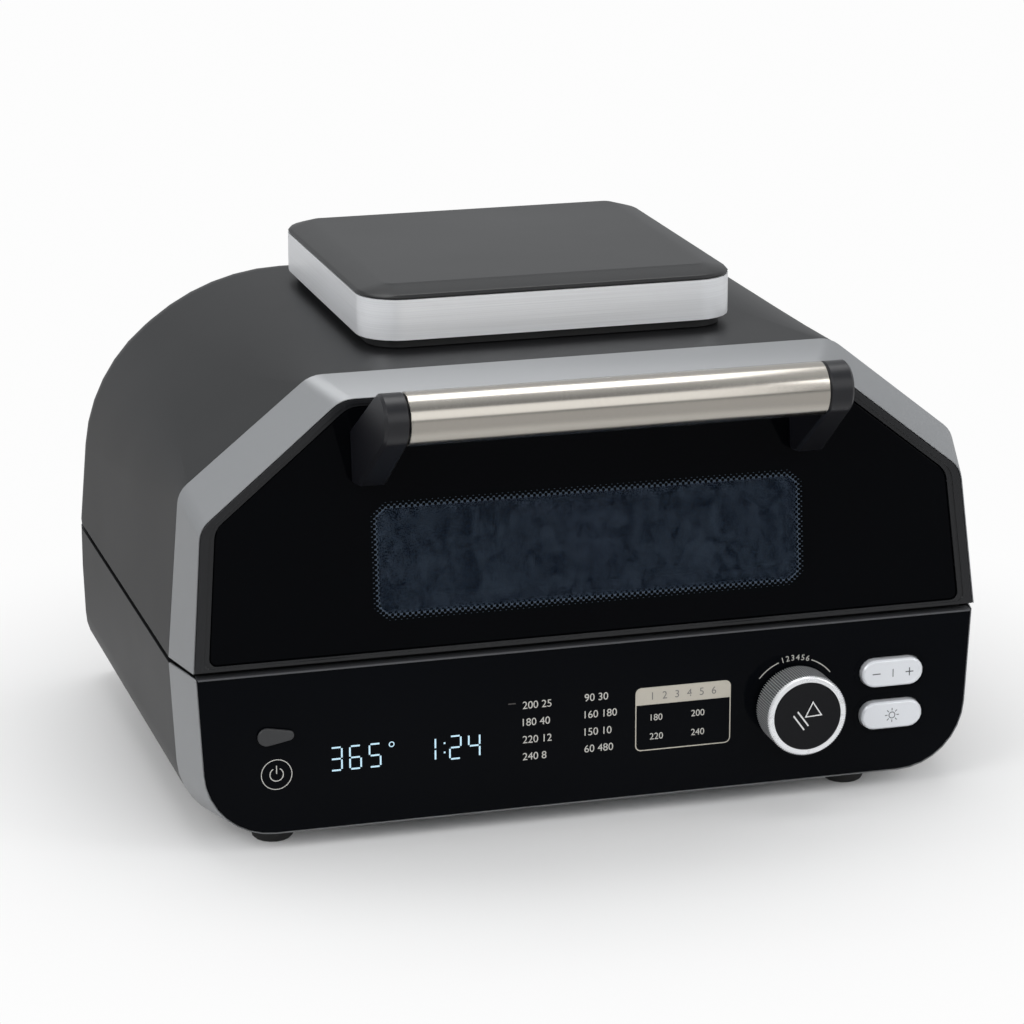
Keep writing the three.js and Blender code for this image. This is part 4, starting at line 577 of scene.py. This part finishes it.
# The polished ring, from its inner edge at the back round to the lip that the cap lies in
face_out, face_in, lip_in = ring_out * 0.975, cap_out + 0.00005, 0.0183
dial_face = turned("dial_face", [
    (face_in, 0.0002), (face_out - 0.0008, 0.0002), (face_out - 0.0008, length - 0.0022),
    (face_out, length - 0.0014), (face_out + 0.0001, length - 0.0009),
    (face_out - 0.0003, length - 0.0002), (face_out - 0.0007, length),
    (lip_in, length), (lip_in, length - 0.00008), (face_in, length - 0.00008), (face_in, 0.0002)])
bpy.ops.object.select_all(action="DESELECT")
dial_face.select_set(True)
dial_side.select_set(True)
bpy.context.view_layer.objects.active = dial_side
bpy.ops.object.join()
dial_ring = bpy.context.object
dial_ring.name = dial_ring.data.name = "dial_ring_knurled"
dial_ring.rotation_euler = (radians(90), 0, 0)
dial_ring.location = (ring_centre.x, ring_high.y, ring_centre.z)
bpy.ops.object.transform_apply()
dial_ring.data.materials.clear()
for finish in (knurl_satin, dial_metal, knurl_painted_shade):
    dial_ring.data.materials.append(finish)
# Polished in front and inside, pale on the ridges, with shade painted darker on the slopes and in
# the grooves
front_deep, face_share, ridge_share = 0.0021, 0.94, 0.99
for face in dial_ring.data.polygons:
    reach = (face.center - ring_centre).xz.length
    if face.center.y < ring_low.y + front_deep or reach < face_share * ring_out:
        face.material_index = 1
    elif reach < ridge_share * ring_out:
        face.material_index = 2
bpy.ops.object.shade_smooth_by_angle(angle=radians(12))
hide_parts("dial_ring")
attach(dial_ring, "dial")

# The sign is measured from the dial's middle, in mm: a triangle, and two bars that lean left
ink_white = finish_of("ink_white", (0.66, 0.66, 0.66), 0.5, grain_tint=0.1, **printed)
play = fresh("circle", vertices=3, radius=5.6, fill_type="NGON")
bpy.ops.object.transform_apply()
in_edit(play, "FACE", lambda face: True, (bpy.ops.mesh.inset, {"thickness": 0.62}),
        (bpy.ops.mesh.delete, {"type": "FACE"}))
play.location = (3.2, 2.3, 0)
play.rotation_euler.z = radians(3)
bpy.ops.object.transform_apply()
slant = radians(36)
stand_up("play_and_pause_sign", [play, flat_bar(-4.7, -3.3, 0.8, 10.1, slant),
                                 flat_bar(-2.4, -1.3, 0.8, 10.1, slant)],
         ink_white, "dial", "dial_metal", cap_low.y, about=ring_centre)

# Push buttons and probe cover
# Two satin silver pills on springs, each in a dark collar, and a small swinging cover over the
# probe's socket. A minus, a bar and a plus stand on the upper pill, a lamp sign on the lower one.
key_silver = finish_of("key_silver", (0.76, 0.78, 0.815), 0.3, metallic=0.25, grain=3000, patch=40,
                       patch_tint=0.03, spread=0.04, bump=0.000005)
ink_slate = finish_of("ink_slate", (0.11, 0.115, 0.125), 0.5, grain_tint=0.1, **printed)
collar_margin, collar_line, collar_proud = 2.6, 1.05, 0.25


def minus_bar_plus():
    """Drawn round the pill's middle, in mm."""
    return [flat_bar(-9.2, 0, 4.4, 0.6), flat_bar(0, 0, 0.5, 4.4),
            flat_bar(9.2, 0, 4.4, 0.6), flat_bar(9.2, 0, 0.6, 4.4)]


def lamp_with_rays():
    """A small ring and eight short rays, drawn in the same way."""
    ways = [radians(way) for way in range(0, 360, 45)]
    return [flat_ring(0, 0, 1.9, 0.5, steps=32)] + [
        flat_bar(3.2 * cos(way), 3.2 * sin(way), 1.4, 0.5, way) for way in ways]


for name, body, drawn_sign in (("upper", "upper_key", minus_bar_plus),
                               ("lower", "lower_key", lamp_with_rays)):
    dress(name + "_button", key_silver, 0.0003)
    key_low, key_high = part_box(name + "_button")
    middle = (key_low + key_high) / 2
    wide, high = (key_high.x - key_low.x) / MM, (key_high.z - key_low.z) / MM
    stand_up(name + "_key_sign", drawn_sign(), ink_slate, body, "key_silver", key_low.y,
             about=middle)
    collar = flat_frame(0, 0, wide + collar_margin, high + collar_margin,
                        (high + collar_margin) / 2 - 0.01, line=collar_line)
    on_panel(name + "_key_collar", [collar], panel_black, proud=collar_proud, about=middle)
cover_satin = finish_of("cover_satin", (0.03, 0.031, 0.033), 0.42, grain=1400, patch=30,
                        grain_tint=0.15, patch_tint=0.1, spread=0.06)
dress("probe_cover", cover_satin, 0.0003)

# Tub, pot and grill plate
# Pressed bright tub, and a cast pot and plate with a dark speckled non-stick coating.
sheet_steel = finish_of("sheet_steel", (0.46, 0.47, 0.48), 0.3, metallic=1, grain=500, patch=14,
                        grain_tint=0.08, patch_tint=0.1, spread=0.08, bump=0.00001,
                        stretch=(1, 12, 12))
non_stick = finish_of("non_stick", (0.02, 0.02, 0.022), 0.33, grain=1800, patch=20, grain_tint=0.9,
                      patch_tint=0.1, spread=0.06, bump=0.00003)
dress("inner_tub", sheet_steel, 0.0003)
dress("cooking_pot", non_stick, 0.0005)
dress("grill_plate", non_stick, 0.0005)

# Hinges
# Folded steel brackets and arms on a turned pin, painted black like the back of the casing.
hinge_paint = finish_of("hinge_paint", (0.022, 0.022, 0.024), 0.42, patch=30, grain_tint=0.15,
                        patch_tint=0.1, spread=0.08, bump=0.00004)
pin_steel = finish_of("pin_steel", (0.5, 0.5, 0.5), 0.28, metallic=1, grain=600, patch=60,
                      grain_tint=0.1, patch_tint=0.1, spread=0.08, bump=0.000008, stretch=(1, 8, 8))
for side in ("left", "right"):
    dress("hinge_bracket_" + side, hinge_paint, 0.0003)
    dress("hinge_arm_" + side, hinge_paint, 0.0003)
    dress("hinge_pin_" + side, pin_steel, 0.0003)

# Lid shell, trim and bezel
# The lid's casing is moulded like the base; a painted trim flares out of it and holds the bezel,
# which steps in to the glass.
dress("lid_shell", shell_satin, 0.0006)
dress("lid_trim", silver_paint, 0, thin_ring=True)
bezel_black = finish_of("bezel_black", (0.009, 0.0095, 0.011), 0.22, grain=1200, patch=14,
                        grain_tint=0.1, patch_tint=0.08, bump=0.00001)
dress("lid_bezel", bezel_black, 0.0002)

# Lid glass
# One toughened sheet, printed black behind. The print ends in a border of dots round a clear
# window, through which the dark oven shows, with mottled bluish reflections painted over it.
glass_black = finish_of("glass_black", (0.0012, 0.0014, 0.002), 0.03, grain=60, patch=9,
                        grain_tint=0, patch_tint=0.2, spread=0.015, bump=0.000002, IOR=1.13)


def window_group():
    """Where the glass is clear, where a dot of the border lets light by, and a mottle of painted
    reflection.
    """
    sizes = {"Half Width": 0.1115, "Middle": 0.0498, "Half Height": 0.0269, "Corner": 0.007,
             "Border": 0.0036, "Dot Pitch": 0.00305, "Lean": 0.108, "Seam": 0.097}
    tree, given, result = new_group(
        "printed_window",
        {**{socket: ("Float", value) for socket, value in sizes.items()},
         "Place": ("Vector", (0, 0, 0))},
        {"Clear": "Float", "Mesh": "Float", "Painted Reflection": "Float"})
    sum_of = partial(sum_in, tree)

    parts = new_node(tree, "SeparateXYZ")
    link(tree, (given["Place"], parts.inputs[0]))
    across = parts.outputs["X"]
    slope = sum_of("SQRT", sum_of("MULTIPLY_ADD", given["Lean"], given["Lean"], 1))
    height = sum_of("SUBTRACT", parts.outputs["Z"], given["Seam"])
    up = sum_of("SUBTRACT", sum_of("MULTIPLY", height, slope), given["Middle"])

    # distance outwards from the clear window's rounded edge
    straight_x = sum_of("SUBTRACT", given["Half Width"], given["Corner"])
    straight_z = sum_of("SUBTRACT", given["Half Height"], given["Corner"])
    over_x = sum_of("SUBTRACT", sum_of("ABSOLUTE", across), straight_x)
    over_z = sum_of("SUBTRACT", sum_of("ABSOLUTE", up), straight_z)
    out_x, out_z = sum_of("MAXIMUM", over_x, 0), sum_of("MAXIMUM", over_z, 0)
    length = sum_of("SQRT", sum_of("ADD", sum_of("MULTIPLY", out_x, out_x),
                                   sum_of("MULTIPLY", out_z, out_z)))
    inside = sum_of("MINIMUM", sum_of("MAXIMUM", over_x, over_z), 0)
    edge = sum_of("SUBTRACT", sum_of("ADD", length, inside), given["Corner"])

    # round dots of black print on a staggered grid, which grow outwards
    row_share, first_dot, dot_growth = 0.86, 0.26, 0.15

    def dots(shift):
        row_pitch = sum_of("MULTIPLY", given["Dot Pitch"], row_share)
        u = sum_of("ADD", sum_of("DIVIDE", across, given["Dot Pitch"]), shift)
        v = sum_of("ADD", sum_of("DIVIDE", up, row_pitch), shift)
        du = sum_of("SUBTRACT", sum_of("FRACT", u), 0.5)
        dv = sum_of("MULTIPLY", sum_of("SUBTRACT", sum_of("FRACT", v), 0.5), row_share)
        return sum_of("SQRT", sum_of("ADD", sum_of("MULTIPLY", du, du), sum_of("MULTIPLY", dv, dv)))

    near = sum_of("MINIMUM", dots(0), dots(0.5))
    along = sum_of("DIVIDE", edge, given["Border"])
    size = sum_of("MULTIPLY_ADD", along, dot_growth, first_dot)
    light = sum_of("GREATER_THAN", near, size)
    begun = sum_of("GREATER_THAN", edge, 0)
    ended = sum_of("LESS_THAN", edge, sum_of("MULTIPLY", given["Border"], 1.25))
    border = sum_of("MULTIPLY", begun, ended)
    # A stretched noise cloud, for the mottled reflections painted into the clear window
    reflection_stretch = new_node(tree, "Mapping", Scale=(1, 1, 0.75))
    reflection_mottle = new_node(tree, "TexNoise", Scale=130, Detail=5, Roughness=0.62, Distortion=1.2)
    link(tree, (sum_of("MULTIPLY", light, border), result["Mesh"]),
         (sum_of("LESS_THAN", edge, 0), result["Clear"]),
         (given["Place"], reflection_stretch.inputs["Vector"]),
         (reflection_stretch.outputs["Vector"], reflection_mottle.inputs["Vector"]),
         (reflection_mottle.outputs["Fac"], result["Painted Reflection"]))
    return tree


window_alpha = 0.62
window = glass_black.node_tree
window_shader = window.nodes["Principled BSDF"]
pattern = window.nodes.new("ShaderNodeGroup")
pattern.node_tree = window_group()
# The clear window's colour is a painted reflection: a mottle between two dark bluish colours
painted_reflection_colour = new_node(window, "Mix", "RGBA", A=(0.0065, 0.0105, 0.019, 1),
                       B=(0.027, 0.038, 0.056, 1))
painted_reflection_share = new_node(window, "MapRange", From_Min=0.36, From_Max=0.66)
glass_colour = new_node(window, "Mix", "RGBA")
mesh_colour = new_node(window, "Mix", "RGBA", B=(0.05, 0.065, 0.088, 1))
solid_share = new_node(window, "MapRange", To_Min=1, To_Max=window_alpha)
link(window,
     (window.nodes["Texture Coordinate"].outputs["Object"], pattern.inputs["Place"]),
     (pattern.outputs["Painted Reflection"], painted_reflection_share.inputs["Value"]),
     (painted_reflection_share.outputs[0], painted_reflection_colour.inputs["Factor"]),
     (pattern.outputs["Clear"], glass_colour.inputs["Factor"]),
     (window.nodes["wear"].outputs["Colour"], glass_colour.inputs["A"]),
     (painted_reflection_colour.outputs["Result"], glass_colour.inputs["B"]),
     (pattern.outputs["Mesh"], mesh_colour.inputs["Factor"]),
     (glass_colour.outputs["Result"], mesh_colour.inputs["A"]),
     (mesh_colour.outputs["Result"], window_shader.inputs["Base Color"]),
     (pattern.outputs["Clear"], solid_share.inputs["Value"]),
     (solid_share.outputs[0], window_shader.inputs["Alpha"]))
dress("lid_glass", glass_black, 0.0007)
dress("window_shroud", moulded_black, 0.0002)
pane_glass = finish_of("pane_glass", (0.02, 0.026, 0.034), 0.08, grain=80, patch=25, grain_tint=0,
                       patch_tint=0.5, spread=0.04, bump=0.000004, Alpha=0.35)
dress("inner_pane", pane_glass, 0.0003)

# Handle
# A tube of brushed stainless steel that plugs into two moulded brackets on the glass.
# It is brushed round and round, so that lights draw out along it.
tube_steel = finish_of("tube_steel", (0.6, 0.565, 0.51), 0.2, metallic=1, grain=170, patch=10,
                       grain_tint=0.07, patch_tint=0.03, bump=0.00001, stretch=(26, 1, 1))
dress("handle_tube", tube_steel, 0)
bracket_black = finish_of("bracket_black", (0.0075, 0.0078, 0.0105), 0.34, grain=1600, patch=14,
                          grain_tint=0.12, patch_tint=0.06)
dress("handle_bracket_left", bracket_black, 0.0007)
dress("handle_bracket_right", bracket_black, 0.0007)

# Top box
# A black plinth, a band of brushed aluminium round it, and a chamfered cap over the motor.
# The band is brushed along its length in lines that can just be seen.
dress("top_plinth", moulded_black, 0.0003)
band_metal = finish_of("band_metal", (0.93, 0.945, 0.97), 0.34, metallic=0.5, grain=75,
                       grain_tint=0.13, patch_tint=0.03, spread=0.06, bump=0.000012,
                       stretch=(0.12, 0.12, 26))
dress("top_band", band_metal, 0.0003)
cap_satin = finish_of("cap_satin", (0.0135, 0.0138, 0.0145), 0.36, grain=1500, patch=7,
                      grain_tint=0.12, patch_tint=0.06)
dress("top_cap", cap_satin, 0.0003)
dress("rear_vent", moulded_black, 0.0002)

# Hot chamber under the lid
# Bright pressed liner, silicone seal, tube heater behind its guard, lamp, sensor, fans and motor.
seal_silicone = finish_of("seal_silicone", (0.035, 0.035, 0.037), 0.6, grain=800, patch=30,
                          grain_tint=0.1, patch_tint=0.1)
heater_steel = finish_of("heater_steel", (0.16, 0.15, 0.145), 0.42, metallic=0.8, grain=700,
                         patch=40, grain_tint=0.15, patch_tint=0.3, spread=0.1, bump=0.00003)
lens_glass = finish_of("lens_glass", (0.7, 0.72, 0.74), 0.25, grain=200, patch=40, Alpha=0.6)
fan_metal = finish_of("fan_metal", (0.42, 0.42, 0.43), 0.38, metallic=1, grain=500, patch=30,
                      grain_tint=0.1, patch_tint=0.1, spread=0.08)
dress("lid_liner", sheet_steel, 0.0003)
dress("lid_seal", seal_silicone, 0.0003)
dress("heating_element", heater_steel, 0)
dress("heater_guard", sheet_steel, 0.0002)
dress("lamp_lens", lens_glass, 0.0004)
for part in ("lamp_holder", "air_sensor", "motor_bridge", "fan_shaft", "hot_air_fan", "fan_motor"):
    dress(part, fan_metal, 0.0002)
dress("cooling_fan", moulded_black, 0.0002)

# Screws and a bare plate
# Zinc-plated security screws, turned heads with a pin in the recess: under the base, and at the
# back of the lid and the base. A thin steel plate with nothing on it is glued under the base.
screw_zinc = finish_of("screw_zinc", (0.4, 0.4, 0.41), 0.34, metallic=1, patch=200, grain_tint=0.1,
                       patch_tint=0.2, spread=0.1, bump=0.00001)
sunk_head = 0.0002
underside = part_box("base_shell")[0].z
back_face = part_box("lid_shell")[1].y
facing_down, facing_back = (radians(180), 0, 0), (radians(-90), 0, 0)
under_places = ((-0.11, -0.085), (0.11, -0.085), (-0.11, 0.14), (0.11, 0.14),
                (0, -0.085), (0, 0.14))
screw_heads = [("screw_under_%d" % (count + 1), (x, y, underside + sunk_head), facing_down, "base")
               for count, (x, y) in enumerate(under_places)]
for body, x, z in (("lid", 0.085, 0.173), ("base", 0.165, 0.055)):
    for side, way in (("left", -1), ("right", 1)):
        screw_heads.append(("screw_%s_%s" % (body, side), (way * x, back_face - sunk_head, z),
                            facing_back, body))

# Half of a head, from its middle outwards, over a rounded rim and down into the recess
head_profile = [(0, 0), (0.0034, 0), (0.0034, 0.0008), (0.0029, 0.0014), (0.002, 0.0017),
                (0.0014, 0.00175), (0.0014, 0.0007), (0.0005, 0.0007), (0.0005, 0.0013),
                (0, 0.0013)]
smooth_up_to = radians(35)
for name, place, lie, body in screw_heads:
    head = turned(name, head_profile, steps=32)
    head.rotation_euler = lie
    head.location = place
    bpy.ops.object.transform_apply()
    bpy.ops.object.shade_smooth_by_angle(angle=smooth_up_to)
    head.data.materials.append(screw_zinc)
    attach(head, body)

plate_size, plate_edge, plate_y = (0.07, 0.04, 0.0006), 0.0002, 0.03
plate = fresh("cube", size=1)
plate.scale = plate_size
bpy.ops.object.transform_apply()
in_edit(plate, "VERT", lambda vertex: True,
        (bpy.ops.mesh.bevel, {"offset": plate_edge, "segments": 2}))
plate.location = (0, plate_y, underside - sunk_head)
bpy.ops.object.transform_apply()
bpy.ops.object.shade_smooth_by_angle(angle=smooth_up_to)
plate.name = plate.data.name = "bare_plate"
plate.data.materials.append(screw_zinc)
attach(plate, "base")
